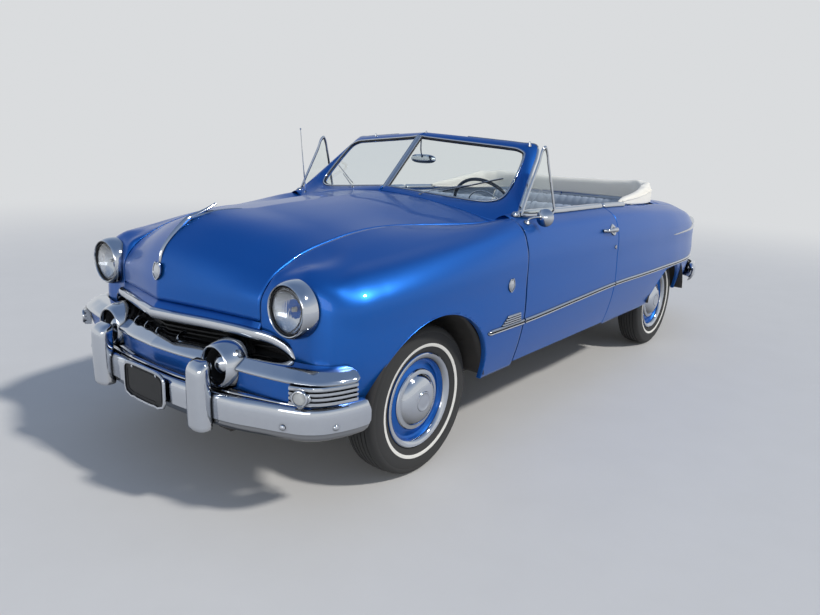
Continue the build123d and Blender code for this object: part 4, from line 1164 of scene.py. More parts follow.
@dataclass
class Bumpers:
    """Wrap-round blades with guards, and the blank plate in its bright frame."""

    front: tuple = ((0, -2478), (200, -2470), (400, -2448), (500, -2424), (600, -2386), (700, -2348),
        (770, -2314), (820, -2262), (850, -2196), (868, -2130), (877, -2060))
    rear: tuple = ((0, -2470), (300, -2464), (500, -2446), (620, -2412), (700, -2366), (756, -2300),
        (790, -2210), (807, -2096))
    section: tuple = ((-38, 70), (-22, 71), (-12, 67), (-5, 58), (-1, 46), (0, 30), (0, 8), (-1, -18),
        (-1.5, -31), (-5, -36), (-8, -46), (-15, -59), (-25, -68), (-38, -74), (-41, -71), (-28, -58),
        (-17, -38), (-12, -10), (-12, 40), (-20, 58), (-38, 64))

    def blade(self, plan: tuple, height: float, tall: float) -> Part:
        """Blade along a plan, from the centre line round the corner to a rounded end."""
        section = [(out, up * tall) for out, up in self.section]
        path = [(x, y, height) for x, y in plan]
        return both(bar_part(path, section, 110, mitre=True, scale=tapered(110, end=0.016, least=0.55)))

    def guard(self, low: float, high: float) -> Part:
        """Upright guard: superellipse rings, bowed forwards, closing to a soft crown at the top."""
        t = np.linspace(0, 1, 36)
        z = low + (high - low) * t
        foot = np.sqrt(np.clip(1 - (1 - np.clip(t / 0.045, 0, 1)) ** 2, 0, 1))
        crown = np.sqrt(np.clip(1 - np.clip((t - 0.86) / 0.14, 0, 1) ** 2, 0, 1))
        size = 0.12 + 0.88 * np.minimum(foot, crown)
        lean = -3 * np.sin(math.pi * t) + 16 * np.clip((t - 0.8) / 0.2, 0, 1) ** 2
        px, py = power(np.cos(around(44)), 0.62) * 52, power(np.sin(around(44)), 0.72) * 36
        half_x = 0.55 + 0.45 * size
        grid = xyz(358 + half_x[:, None] * px, -2467 + lean[:, None] + size[:, None] * py, z[:, None])
        return loft_part(grid)

    def plate(self) -> None:
        """Blank plate with a rounded bright frame and two screws."""
        outline = rounded_outline(296, 148, 26, 96)
        outline[:, 1] -= np.where(outline[:, 1] < -60, 3.5 * np.cos(outline[:, 0] / 296 * 6 * math.pi) ** 2,
            0)
        face = xyz(outline[:, 0], -2486, 439 + outline[:, 1])
        back = face + (0, 3, 0)
        board = piece("plate_board", loft_part([face, back]), PLATE)
        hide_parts("licence_plate")
        section = ((-5, -5), (3, -5.5), (6, -2), (6, 2), (3, 5.5), (-5, 5))
        piece("plate_frame", bar_part(face + (0, -1, 0), section, up=(0, -1, 0), closed=True), CHROME)
        edge = xyz(0.86 * outline[:, 0], -2487, 439 + 0.76 * outline[:, 1])
        rib = ((-1.2, -1), (1.2, -1), (0.8, 1), (-0.8, 1))
        piece("plate_rib", bar_part(edge, rib, up=(0, -1, 0), closed=True), PLATE)
        for k, x in enumerate((-88.9, 88.9)):
            dome = spun([(0, 7), (2.5, 7), (4, 4), (4.5, 0)], 24, (x, -2486, 498), (0, -1, 0))
            piece(f"plate_screw_{k}", dome, CHROME, recalc=False)

    def build(self) -> None:
        """Makes both bumpers and the plate."""
        blade = piece("front_blade", self.blade(self.front, 430, 1.0), CHROME)
        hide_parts("front_bumper")
        piece("front_guards", both(self.guard(344, 626)), CHROME)
        blade = piece("rear_blade", flipped(self.blade(self.rear, 453, 1.06), TO_TAIL), CHROME)
        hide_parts("rear_bumper")
        piece("rear_guards", flipped(both(self.guard(352, 620)), TO_TAIL), CHROME)
        iron = both(bar_part([(395, -2440, 400), (395, -2390, 398), (407, -2340, 390)],
            ((-6, -16), (6, -16), (6, 16), (-6, 16)), 12))
        piece("bumper_irons", joined(iron, flipped(iron, TO_TAIL)), UNDER)
        for k, (x, y, ahead) in enumerate(((699, -2350, (0.42, -0.9, 0)), (842, -2216, (0.9, -0.44, 0)))):
            cap = spun([(-3, 11), (1.5, 11), (4.5, 8), (6, 4), (6.4, 0)], 32, (x, y, 419), ahead)
            piece(f"blade_bolt_{k}", both(cap), CHROME, recalc=False)
        self.plate()


# ---- windshield


def thick_pane(loop: Array, centre: Array, shares, half) -> Part:
    """Pane inside a loop: rings at shares of the way out from centre, moved by half to the front and back."""
    rings = np.stack([centre + (loop - centre) * k for k in shares])
    return loft_part(np.concatenate([rings + half, (rings - half)[::-1]]))


@dataclass
class Windshield:
    """Two raked panes in a painted surround, with bright beads, a divider, wipers and header pegs."""

    ahead: Array = field(default_factory=lambda: np.array((0.1916, -0.6794, 0.7083)))

    stations: tuple = ((8, .035, 8, -1052, 1183), (150, .035, 150, -1045, 1177),
        (300, .035, 300, -1034, 1163), (430, .04, 440, -1022, 1143), (530, .05, 560, -1008, 1119),
        (600, .085, 660, -998, 1096), (640, .15, 730, -990, 1088), (655, .24, 775, -978, 1087),
        (657, .35, 800, -950, 1096), (655, .50, 780, -896, 1141), (650, .65, 756, -819, 1204),
        (643, .78, 730, -735, 1273), (634, .89, 703, -648, 1345), (616, .965, 678, -566, 1413),
        (580, 1.0, 655, -527, 1455), (520, 1.005, 560, -545, 1467), (400, 1.0, 410, -575, 1478),
        (200, .99, 200, -617, 1492), (8, .985, 8, -656, 1503))

    def pane(self, x, w) -> Array:
        """Point of the left pane in mm at x, with w from 0 at its foot to 1 at its head."""
        x, w = np.broadcast_arrays(np.asarray(x, float), np.asarray(w, float))
        u = x / 690
        return xyz(x, -1006 + 132 * u + 294 * w, 1196 - 60 * u + 282 * w)

    def rim(self, count: int) -> tuple[Array, Array]:
        """Inner and outer edge of the surround, from the foot of the divider round to its head."""
        rows = np.array(self.stations, float)
        inner = self.pane(rows[:, 0], rows[:, 1])
        both_edges = curve(np.concatenate([inner, rows[:, 2:]], axis=1), count)
        return both_edges[:, :3], both_edges[:, 3:]

    def surround(self) -> None:
        """Painted frame: a closed ring at every station, bowed over the front from inner to outer edge."""
        inner, outer = self.rim(120)
        rings = ((0.0, 0), (0.03, 5), (0.2, 9), (0.5, 9), (0.8, 5), (0.97, 1), (1.0, -3), (1.0, -17),
            (0.85, -18), (0.3, -18), (0.0, -14))
        grid = np.stack([inner + (outer - inner) * share + self.ahead * lift for share, lift in rings],
            axis=1)
        grid[:, 7:9, 2] -= (50 * np.clip((1150 - outer[:, 2]) / 50, 0, 1))[:, None]
        obj = piece("windshield_surround", both(loft_part(grid)), ENAMEL)
        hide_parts("windshield_frame")
        sides = (outer - 9 * self.ahead)[56:104]
        section = ((-4, -9), (3, -9), (5, -5), (5, 5), (3, 9), (-4, 9))
        piece("pillar_strips", both(bar_part(sides, section, 60, up=(-0.5, 0.3, 0.8))), CHROME)

    def glass(self) -> None:
        """Each pane is one thick sheet inside its bead."""
        loop, _ = self.rim(90)
        centre = self.pane(330, 0.5)
        obj = piece("windshield_panes", both(thick_pane(loop, centre, (0.1, 0.4, 0.75, 1.01),
            self.ahead * 1.5)), GLASS, shade=Shade.FLAT)
        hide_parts("windshield_glass")

    def beads(self) -> None:
        """Bright bead and dark seal round each pane, and the bright divider between them."""
        inner, outer = self.rim(120)
        toward = (outer - inner) / np.linalg.norm(outer - inner, axis=1)[:, None]
        foot, head = np.array((13.0, -1003, 1195)), np.array((13.0, -713, 1477))
        for name, out, radius, lift, beside, finish in (("bead", 4, 5.2, 8, 0, CHROME),
                ("seal", -5, 5, 3, 6, SEAL)):
            loop = inner + toward * out
            loop[:2], loop[-2:] = foot + (beside, 0, 0), head + (beside, 0, 0)
            loop += self.ahead * lift
            ring = np.concatenate([loop[1:-1], curve([loop[-1], (loop[0] + loop[-1]) / 2, loop[0]], 20)])
            part = bar_part(ring, circle(radius, 12), up=self.ahead, closed=True)
            piece("pane_" + name, both(part), finish)
        section = ((-13, -3), (13, -3), (13, 5), (8, 11), (0, 13), (-8, 11), (-13, 5))
        path = [(0, -1012, 1190), (0, -940, 1262), (0, -860, 1338), (0, -716, 1478)]
        piece("divider", bar_part(path, section, 30, up=(0, -0.7, 0.72)), CHROME)

    def wipers(self) -> None:
        """Two arms with their blades, lying along the foot of the panes."""
        pivot = np.array((244.0, -1001, 1176))
        hub = spun([(-8, 9), (6, 9), (10, 7), (12, 3), (12.5, 0)], 24, pivot, (0.19, -0.68, 0.71))
        tip = self.pane(470, 0.26) + (0, -13, 13)
        arm = rod_part([pivot + (0, -9, 9), (pivot + tip) / 2 + (0, -12, 12), tip], 2.6, 10, 20)
        blade = self.pane((330, 420, 520, 600), (0.10, 0.22, 0.36, 0.47)) + (0, -8, 8)
        pair("wiper", joined(hub, arm, rod_part(blade, 2.4, 8, 24)), DULL_CHROME)
        pair("wiper_rubber", rod_part(blade + (0, 3, -3), 2.6, 8, 24), SEAL)

    def header(self) -> None:
        """Pegs on the header and the inside mirror on its stalk."""
        for k, (x, y, z) in enumerate(((0, -652, 1486), (628, -556, 1450), (-443, -592, 1460))):
            peg = spun([(0, 9), (6, 8), (10, 6), (22, 5.5), (26, 3.5), (27, 0)], 24, (x, y, z), (0, -0.2, 1))
            piece(f"header_peg_{k}", peg, CHROME)
        steps = ((0, 0.90), (-2.5, 1.0), (-10, 1.0), (-18, 0.82), (-22, 0.5))
        head = prism(rounded_outline(176, 52, 20, 56), steps, (-20, -640, 1352))
        piece("inside_mirror", head, CHROME)
        piece("mirror_stalk", rod_part([(-20, -660, 1360), (-14, -680, 1400), (0, -700, 1462)], 4, 10, 14),
            CHROME)

    def build(self) -> None:
        """Makes the whole windshield."""
        self.surround()
        self.glass()
        self.beads()
        self.wipers()
        self.header()


# ---- bright work on the sides


@dataclass
class Brightwork:
    """Side mouldings, handles, locks, badges, vent windows, mirrors, ornament and aerial."""

    line: tuple = ((-1309, 613), (-1150, 613), (-980, 613), (-430, 630), (124, 647), (640, 643), (1173, 638),
        (1600, 626), (1957, 616))
    section: tuple = ((-3, -14), (3, -14), (8, -11), (10.5, -8), (9, -4), (3.5, -1.4), (3.5, 1.4), (9, 4),
        (10.5, 8), (8, 11), (3, 14), (-3, 14))

    def on_skin(self, y, z, lift: float = 0.0) -> Array:
        """Points in mm on the body's left side at arrays y and z, lifted sideways by lift."""
        return SHAPE.skin(y, z) + (lift, 0, 0)

    def mouldings(self) -> None:
        """Double-ridged moulding along the fender, door and quarter, pointed at its nose."""
        rows = np.array(self.line, float)
        for name, body, y0, y1, start, end in (("fender", "body", -1309, -987, 0.09, 0.0),
                ("door", "door_", -974, 119, 0.0, 0.0), ("quarter", "body", 131, 1957, 0.0, 0.02)):
            count = max(30, int((y1 - y0) / 18))
            y = np.linspace(y0, y1, count)
            path = self.on_skin(y, hermite(rows[:, 0], rows[:, 1], y), 0.5)
            part = bar_part(path, self.section, count, scale=tapered(count, start, end, 0.12))
            made = pair("moulding_" + name, part, CHROME, body)
            if name == "fender":
                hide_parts("side_mouldings")

    def plaque(self) -> None:
        """Ribbed plaque over the nose of the moulding: four ridges, each starting further back."""
        section = ((-2, -6), (2, -6), (6, -3), (6, 3), (2, 6), (-2, 6))
        for k, z in enumerate((631, 642, 653, 664)):
            y = np.linspace(-1190 + 14 * k, -1016 - 3 * k, 60)
            path = self.on_skin(y, z + 0 * y, 1.0)
            piece(f"plaque_rib_{k}", both(bar_part(path, section, 60, scale=tapered(60, 0.06, 0.04, 0.3))),
                CHROME)

    def shield(self, place, ahead, wide: float, tall: float, name: str, twin: bool) -> None:
        """Generic shield: a pointed outline with a raised rim and a swelling middle."""
        t = around(72)
        px = np.sin(t) * wide / 2 * (1 + 0.10 * np.cos(2 * t))
        pz = np.cos(t) * tall / 2
        px = px * np.where(pz < 0, 1 - 0.55 * (abs(pz) / (tall / 2)) ** 2.2, 1)
        pz = pz + np.where(pz > 0, -0.05 * tall * np.cos(px / wide * 4 * math.pi) * (pz / (tall / 2)), 0)
        steps = ((-2, 1.0), (3, 1.0), (5, 0.95), (5, 0.86), (3, 0.80), (5.5, 0.55), (7, 0.2))
        part = placed(stepped(np.stack([px, pz], axis=1), steps), place, ahead)
        piece(name, both(part) if twin else part, CHROME)

    def handles(self) -> None:
        """Door handle: a tapering grip on two feet, its diamond plate, and the round lock below."""
        path = [(897, -86, 990), (917, -76, 991), (925, -40, 992), (925, 10, 990), (919, 44, 988),
            (900, 56, 987)]
        size = np.interp(np.linspace(0, 1, 60), (0, 0.2, 0.6, 0.85, 1), (1.3, 1.15, 1.3, 1.8, 1.4))
        grip = bar_part(path, circle(7.5, 16, 1.15), 60, scale=size)
        diamond = power(circle(1, 64), 1.45) * (48, 36)
        plate = placed(stepped(diamond, ((-2, 1.0), (3, 0.97), (5, 0.84), (5.4, 0.5))),
            self.on_skin([52.0], [985.0])[0], (0.93, 0, 0.36))
        lock = spun([(-3, 12), (3, 12), (5.5, 10), (6, 8), (4.5, 7), (4.5, 0)], 32,
            self.on_skin([88.0], [880.0])[0], (0.99, 0, 0.12))
        pair("handle", joined(grip, plate, lock), CHROME, "door_")

    def vents(self) -> None:
        """Quarter windows: a bright three-sided frame round a pane, standing on the door's sill."""
        corners = np.array([(802, -896, 1122), (812, -840, 1118), (820, -700, 1117), (822, -604, 1118),
            (822, -592, 1126), (820, -600, 1160), (812, -632, 1265), (804, -664, 1365), (800, -690, 1438),
            (799, -700, 1451), (798, -712, 1446), (798, -752, 1376), (799, -810, 1276), (800, -866, 1180)],
            float)
        loop = curve(np.vstack([corners, corners[:1]]), 121)[:-1]
        centre = loop.mean(axis=0)
        inner = centre + (loop - centre) * 0.955
        pair("vent_frame", bar_part(loop, circle(9, 12, 0.7), up=(1, 0, 0.2), closed=True), CHROME, "door_")
        pair("vent_seal", bar_part(inner, circle(4.5, 8), up=(1, 0, 0.2), closed=True), SEAL, "door_")
        pair("vent_pane", thick_pane(loop, centre, (0.12, 0.5, 1.0), (1.5, 0, 0)), GLASS, "door_")

    def belt(self) -> None:
        """Bright belt moulding along the top of the door and round the front of the quarter."""
        for name, body, y0, y1 in (("door", "door_", -950, 119), ("quarter", "body", 131, 470)):
            path = SHAPE.at(np.linspace(y0, y1, 60), 792.0) + (-10, 0, 5)
            section = ((-17, -8), (14, -11), (19, -5), (20, 4), (16, 13), (7, 19), (-5, 19), (-14, 12),
                (-18, 2))
            part = bar_part(path, section, 60, scale=tapered(60, 0.02, 0.05, 0.5))
            pair("belt_" + name, part, CHROME, body)

    def mirrors(self) -> None:
        """Round mirror: a turned head on a bent stalk with a small foot."""
        head = spun([(0, 0), (1, 30), (2, 42), (5, 45), (9, 44), (14, 38), (22, 26), (28, 12), (30, 0)], 64,
            (898, -826, 1112), (0.15, -1, 0.05))
        stalk = rod_part([(842, -905, 1088), (850, -905, 1104), (872, -872, 1116), (896, -838, 1114)], 5, 12,
            24)
        foot = spun([(-4, 17), (2, 16), (6, 10), (9, 6), (12, 5)], 32, (842, -905, 1090), (0.5, 0, 0.85))
        piece("door_mirror", joined(head, stalk, foot), CHROME, "door_left")

    def ornament(self) -> None:
        """Hood ornament: a long bright strip that rises to a swept tip, over the ridge of the hood."""
        rows = np.array([(-2399, 872, 3.5), (-2391, 928, 4.5), (-2377, 986, 5), (-2345, 1030, 6),
            (-2316, 1058, 7), (-2286, 1084, 8), (-2256, 1108, 9), (-2200, 1127, 10), (-2150, 1146, 9),
            (-2112, 1164, 5)], float)
        path = xyz(0, rows[:, 0], rows[:, 1])
        size = curve(xyz(rows[:, 2], rows[:, 2], rows[:, 2]), 70)[:, 0] / 10
        section = ((-8, -9), (8, -9), (10, -2), (6, 6), (0, 10), (-6, 6), (-10, -2))
        front = bar_part(path, section, 70, scale=size, up=(0, -0.4, 0.9))
        spine = bar_part([(0, -2240, 1112), (0, -2180, 1122), (0, -2080, 1128), (0, -1968, 1132)], section,
            50, scale=tapered(50, 0.0, 0.45, 0.25))
        piece("hood_ornament", joined(front, spine), CHROME, "hood")
        self.shield((0, -2404, 905), (0, -1, 0.12), 58, 76, "hood_crest", False)

    def aerial(self) -> None:
        """Aerial: three steps of a thin tapering rod in a domed foot."""
        foot = spun([(-6, 20), (2, 19), (9, 13), (14, 8), (22, 6), (23, 0)], 32, (-690, -955, 1102),
            (-0.2, -0.08, 1))
        rod = [rod_part([(-690, -956, 1112), (-690, -972, 1240)], 4.2, 12, 6),
            rod_part([(-690, -972, 1238), (-690, -987, 1370)], 3.2, 12, 6),
            rod_part([(-690, -987, 1368), (-690, -1000, 1492)], 2.3, 12, 6),
            spun([(-6, 0), (-4, 4), (0, 5.5), (4, 4), (6, 0)], 16, (-690, -1000, 1494), (0, 0, 1))]
        obj = piece("aerial", joined(foot, *rod), CHROME)
        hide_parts("antenna")

    def spears(self) -> None:
        """Bright spear along the top of each quarter, widening into the tail lamp."""
        y = np.linspace(1200, 2168, 80)
        z = np.interp(y, (1200, 1800, 2168), (858, 857, 853))
        path = self.on_skin(y, z, 0.5)
        section = ((-4, -14), (4, -12), (10, -4), (10, 4), (4, 12), (-4, 14))
        size = np.interp(np.linspace(0, 1, 80), (0, 0.05, 0.5, 1), (0.12, 0.35, 0.7, 1.55))
        piece("tail_spears", both(bar_part(path, section, 80, scale=size)), CHROME)

    def tail_lamps(self) -> None:
        """Round tail lamps: a deep bright bezel and a red dome."""
        bezel = ((2150, 50), (2200, 58), (2290, 58), (2345, 55), (2362, 52), (2368, 49), (2366, 45),
            (2352, 43), (2300, 43), (2150, 44), (2150, 50))
        dome = ((2350, 43.5), (2362, 42), (2371, 34), (2377, 20), (2379, 8), (2379.5, 0))
        rims = pair("tail_bezel", turned(bezel, (632, 0, 850), "y"), CHROME)
        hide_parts("tail_lamps")
        pair("tail_dome", turned(dome, (632, 0, 850), "y", 72), RED, recalc=False)

    def build(self) -> None:
        """Makes all the bright work."""
        self.mouldings()
        self.plaque()
        self.shield(self.on_skin([-1130.0], [815.0])[0] + (1, 0, 0), (1, 0.02, 0.03), 62, 68, "fender_badge",
            True)
        self.handles()
        self.vents()
        self.belt()
        self.mirrors()
        self.ornament()
        self.aerial()
        self.spears()
        self.tail_lamps()


# ---- cabin


@dataclass
class Cabin:
    """Seats, linings, floor mat, dashboard and steering wheel."""

    def front_seat(self) -> None:
        """Bench: a pleated cushion, a split pleated back and a base, with pale piping."""
        cushion = [(-436, 470), (-446, 520), (-440, 600), (-420, 652), (-340, 684), (-180, 694), (0, 688),
            (60, 660), (70, 600), (60, 500), (20, 470), (-200, 462)]
        seat = piece("front_cushion", cushion_part(cushion, 642, 46, 62), SEAT, shade=Shade.SMOOTH)
        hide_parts("front_seat")
        back = [(20, 660), (24, 720), (52, 850), (86, 980), (112, 1058), (140, 1088), (176, 1094),
            (206, 1078), (216, 1040), (196, 900), (168, 760), (144, 660), (80, 640)]
        for k, shift in enumerate((-322, 322)):
            part = cushion_part(back, 319, 34, 58, across=81, shift=shift)
            rest = piece(f"front_back_{k}", part, SEAT, shade=Shade.SMOOTH)
            self.welt(back, 319, 34, shift, f"front_welt_{k}")
        self.welt(cushion, 642, 46, 0, "cushion_welt")
        base = [(-400, 398), (-404, 462), (-200, 468), (20, 470), (70, 500), (120, 500), (110, 398)]
        piece("seat_base", cushion_part(base, 600, 12, across=41), UNDER)

    def welt(self, outline: list, half: float, round_off: float, shift: float, name: str) -> None:
        """Pale piping round both ends of a cushion, just inside its rounded edge.

        The loop lies at a share e of the way into the rounded end, and is pulled in as the cushion
        is there, less 2.5 mm.
        """
        e = 0.52
        ring = curve([*outline, outline[0]], 91)[:-1]
        centre = ring.mean(axis=0)
        away = ring - centre
        away *= 1 - 0.06 * round_off / np.ptp(away[:, 0])
        pull = round_off * (1 - math.sqrt(1 - e * e)) - 2.5
        flat = centre + away - away / np.linalg.norm(away, axis=1)[:, None] * pull
        loops = [xyz(shift + s * (half - round_off * (1 - e)), flat[:, 0], flat[:, 1]) for s in (-1, 1)]
        parts = [bar_part(loop, circle(4.2, 8), up=(1, 0, 0), closed=True) for loop in loops]
        piece(name, joined(*parts), PIPING, shade=Shade.SMOOTH)

    def rear_seat(self) -> None:
        """Rear bench between the wheel houses: pleated cushion and a pleated back."""
        cushion = [(700, 500), (690, 560), (700, 640), (740, 690), (840, 702), (980, 694), (1060, 660),
            (1060, 520), (900, 490)]
        back = [(985, 620), (1000, 720), (1028, 860), (1052, 980), (1066, 1050), (1090, 1078), (1124, 1078),
            (1140, 1050), (1130, 900), (1110, 700), (1080, 600), (1020, 590)]
        for name, outline in (("rear_cushion", cushion), ("rear_back", back)):
            rest = piece(name, cushion_part(outline, 606, 44, 61), SEAT, shade=Shade.SMOOTH)
            if name == "rear_back":
                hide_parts("rear_seat")
            self.welt(outline, 606, 44, 0, name + "_welt")

    def linings(self) -> None:
        """Side linings that sweep from the rear seat round behind it, topped with pale piping."""
        plan = np.array([(778, 134), (776, 300), (770, 500), (758, 700), (728, 900), (676, 1030), (588, 1104),
            (420, 1132), (200, 1142), (0, 1144)], float)
        path = curve(xyz(plan[:, 0], plan[:, 1], 0), 100)
        z = np.concatenate([[1062, 1076, 1084, 1086, 1083], np.linspace(1070, 560, 22)])
        share = np.concatenate([[18, 12, 4, -4, -10], np.full(22, -13.0)])
        _, side, _ = frames_along(path)
        rise = 18 * np.clip((path[:, 1] - 500) / 350, 0, 1)
        rows = []
        for height, out in zip(z, share):
            tuck = 6.4 * np.exp(-((height - 960) / 14) ** 2)
            row = path - side * (out + tuck)
            row[:, 2] = height + rise * (height > 1000)
            rows.append(row)
        grid = np.stack(rows)
        obj = piece("cabin_lining", both(sheet_part(grid)), SEAT, shade=Shade.SMOOTH, wall=3)
        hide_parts("quarter_trim")
        for name, height, out in (("lining_welt", 1087, -3), ("lining_seam", 958, 8)):
            line = (path + side * (-out))[::-1].copy()
            line[:, 2] = height + rise[::-1] * (height > 1000)
            line[0, 0] = 0.0
            piece(name, both(bar_part(line, circle(4.5, 8), 100, mitre=True)), PIPING, shade=Shade.SMOOTH)

    def door_linings(self) -> None:
        """Padded inner door panels, with a pale band along the top and a row of upright pleats."""
        y = np.linspace(-930, 112, 150)
        z = np.array([430, 440, 470, 520, 580, 640, 700, 760, 806, 812, 818, 850, 900, 950, 1000, 1040, 1064,
            1074])
        bulge = np.interp(z, (430, 470, 806, 812, 818, 1040, 1074), (0, 7, 8, 2, 8, 8, -6))
        pleats = np.where((z > 470) & (z < 806), 1.0, 0.0)
        x = 790 - bulge[:, None] + 3.0 * np.abs(np.cos(math.pi * y / 60)) ** 10 * pleats[:, None]
        part = sheet_part(xyz(x, y, z[:, None]), over=True)
        for obj, side in pair("door_lining", part, SEAT, "door_", shade=Shade.SMOOTH, wall=4):
            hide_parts("door_trim_" + side)
        band = [(783, -925, 1068), (783, -600, 1074), (783, -200, 1074), (783, 110, 1070)]
        pair("door_welt", bar_part(band, circle(4.5, 8), 60), PIPING, "door_", shade=Shade.SMOOTH)
        crank = joined(spun([(0, 20), (6, 19), (9, 12), (12, 8), (13, 0)], 32, (782, -520, 760), (-1, 0, 0)),
            rod_part([(772, -520, 760), (764, -470, 728), (762, -420, 712)], 5.5, 12, 20),
            spun([(-2, 9), (10, 11), (20, 9), (22, 0)], 24, (764, -420, 712), (-1, 0, 0)))
        pair("window_crank", crank, CHROME, "door_")
        pull = rod_part([(780, -120, 900), (752, -90, 902), (748, 20, 902), (752, 60, 900), (780, 80, 900)],
            8, 12, 40)
        pair("door_pull", pull, CHROME, "door_")

    def floor(self) -> None:
        """Moulded rubber mat over the floor and its tunnel: one moulded sheet."""
        x, y = np.linspace(-700, 700, 71), np.linspace(-880, 680, 61)
        xx, yy = np.meshgrid(x, y)
        tunnel = 108 * np.exp(-(abs(xx) / 150) ** 4)
        toe = 150 * np.clip((-yy - 690) / 190, 0, 1) ** 1.4
        rib = 1.5 * np.cos(xx * 2 * math.pi / 24) * np.clip(1 - tunnel / 20, 0, 1)
        grid = xyz(xx, yy, 402 + np.maximum(tunnel, toe) + rib)
        piece("floor_mat", sheet_part(grid, over=True), MAT, shade=Shade.SMOOTH, wall=3)

    def dashboard(self) -> None:
        """Rolled painted dashboard with a bright strip, a round dial, a radio grille and its knobs."""
        x = np.linspace(-778, 778, 91)
        bow = -22 * (x / 778) ** 2
        profile = [(-868, 1110), (-840, 1126), (-800, 1132), (-764, 1126), (-742, 1106), (-736, 1076),
            (-742, 1050), (-748, 1030), (-744, 1004), (-732, 970), (-736, 940), (-756, 924), (-800, 926)]
        y, z = np.split(curve(profile, 40), 2, axis=1)
        grid = xyz(x, y + bow, z - 30 * (x / 778) ** 2 * np.clip((z - 1040) / 90, 0, 1))
        obj = piece("dash_panel", sheet_part(grid), INNER_BLUE, shade=Shade.SMOOTH, wall=3)
        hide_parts("dashboard")
        for k, z in enumerate((1036, 1024, 1012)):
            strip = [(sx, -741 - 22 * (sx / 778) ** 2, z) for sx in (-700, -350, 0, 350, 700)]
            piece(f"dash_strip_{k}", bar_part(strip, ((-2, -3), (3, -2), (3, 2), (-2, 3)), 60), CHROME)
        for name, profile, segments, finish in (("ring", [(-20, 78), (4, 78), (10, 75), (11, 71), (7, 68),
                (2, 66), (2, 0)], 72, CHROME), ("face", [(3, 65), (4, 40), (4, 20), (9, 12), (10, 0)], 64,
                PLATE), ("glass", [(9, 69), (13, 50), (15, 20), (15.5, 0)], 48, LAMP_GLASS)):
            piece("dial_" + name, spun(profile, segments, (360, -742, 1076), (0, 1, 0.22)), finish)
        bars = [rod_part([(sx, -739, 1052), (sx, -731, 1080), (sx, -741, 1104)], 3, 8, 8)
            for sx in range(-72, 84, 12)]
        piece("radio_grille", joined(*bars), CHROME)
        knobs = [spun([(0, 12), (8, 12), (14, 10), (18, 9), (20, 6), (20.5, 0)], 32, (sx, -744, z), (0, 1, 0))
            for sx, z in ((-130, 990), (130, 990), (240, 985), (480, 985), (540, 1010), (-240, 990))]
        piece("dash_knobs", joined(*knobs), PIPING)
        glove = [(-330, -733, 1096), (-620, -738, 1088), (-624, -745, 975), (-330, -740, 980)]
        loop = curve(glove + glove[:1], 121)[:-1]
        piece("glove_bead", bar_part(loop, circle(2.5, 8), up=(0, 1, 0), closed=True), CHROME)

    def steering(self) -> None:
        """Steering wheel on its column: thin rim, two spokes, bright horn ring and a domed hub."""
        hub = np.array((360.0, -535, 1080))
        lean = np.array((0, 0.866, 0.5))
        rim = turned([(9.5 * math.sin(a), 206 + 9.5 * math.cos(a)) for a in np.linspace(0, 2 * math.pi, 25)],
            segments=160)
        ring = turned([(14 + 3.6 * math.sin(a), 122 + 3.6 * math.cos(a))
            for a in np.linspace(0, 2 * math.pi, 17)], segments=120)
        boss = turned([(-46, 30), (-20, 34), (-6, 44), (4, 46), (10, 44), (14, 38), (14, 0)], segments=64)
        cap = turned([(12, 36), (18, 34), (24, 26), (28, 14), (29, 0)], segments=64)
        spokes, horns = [], []
        for s in (-1, 1):
            line = [(2, 0, 0), (4, s * 80, -6), (2, s * 160, -12), (0, s * 203, -10)]
            spokes.append(bar_part(line, ((-4, -15), (4, -15), (6, 0), (4, 15), (-4, 15)), 40,
                scale=np.linspace(1.1, 0.62, 40)))
            horns.append(rod_part([(16, s * 30, 0), (15, s * 80, -4), (14, s * 122, -6)], 3.6, 10, 20))
        black = placed(joined(rim, boss, *spokes), hub, lean)
        obj = piece("steering_rim", black, BAKELITE, "steering_wheel")
        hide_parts("steering_wheel")
        piece("horn_ring", placed(joined(ring, cap, *horns), hub, lean), CHROME, "steering_wheel")
        piece("steering_column", rod_part([hub - lean * 50, hub - lean * 470], 19, 32), INNER_BLUE)
        tip = hub - lean * 62 + (-190, 10, 34)
        lever = rod_part([hub - lean * 70, hub - lean * 66 + (-90, 4, 26), tip], 4.2, 12, 24)
        knob = spun([(-10, 0), (-8, 9), (0, 12), (8, 9), (10, 0)], 24, tip - (2, 0, 0), (1, 0, 0))
        piece("shift_lever", joined(lever, knob), CHROME)

    def build(self) -> None:
        """Makes the cabin."""
        self.front_seat()
        self.rear_seat()
        self.linings()
        self.door_linings()
        self.floor()
        self.dashboard()
        self.steering()


# ---- folded top


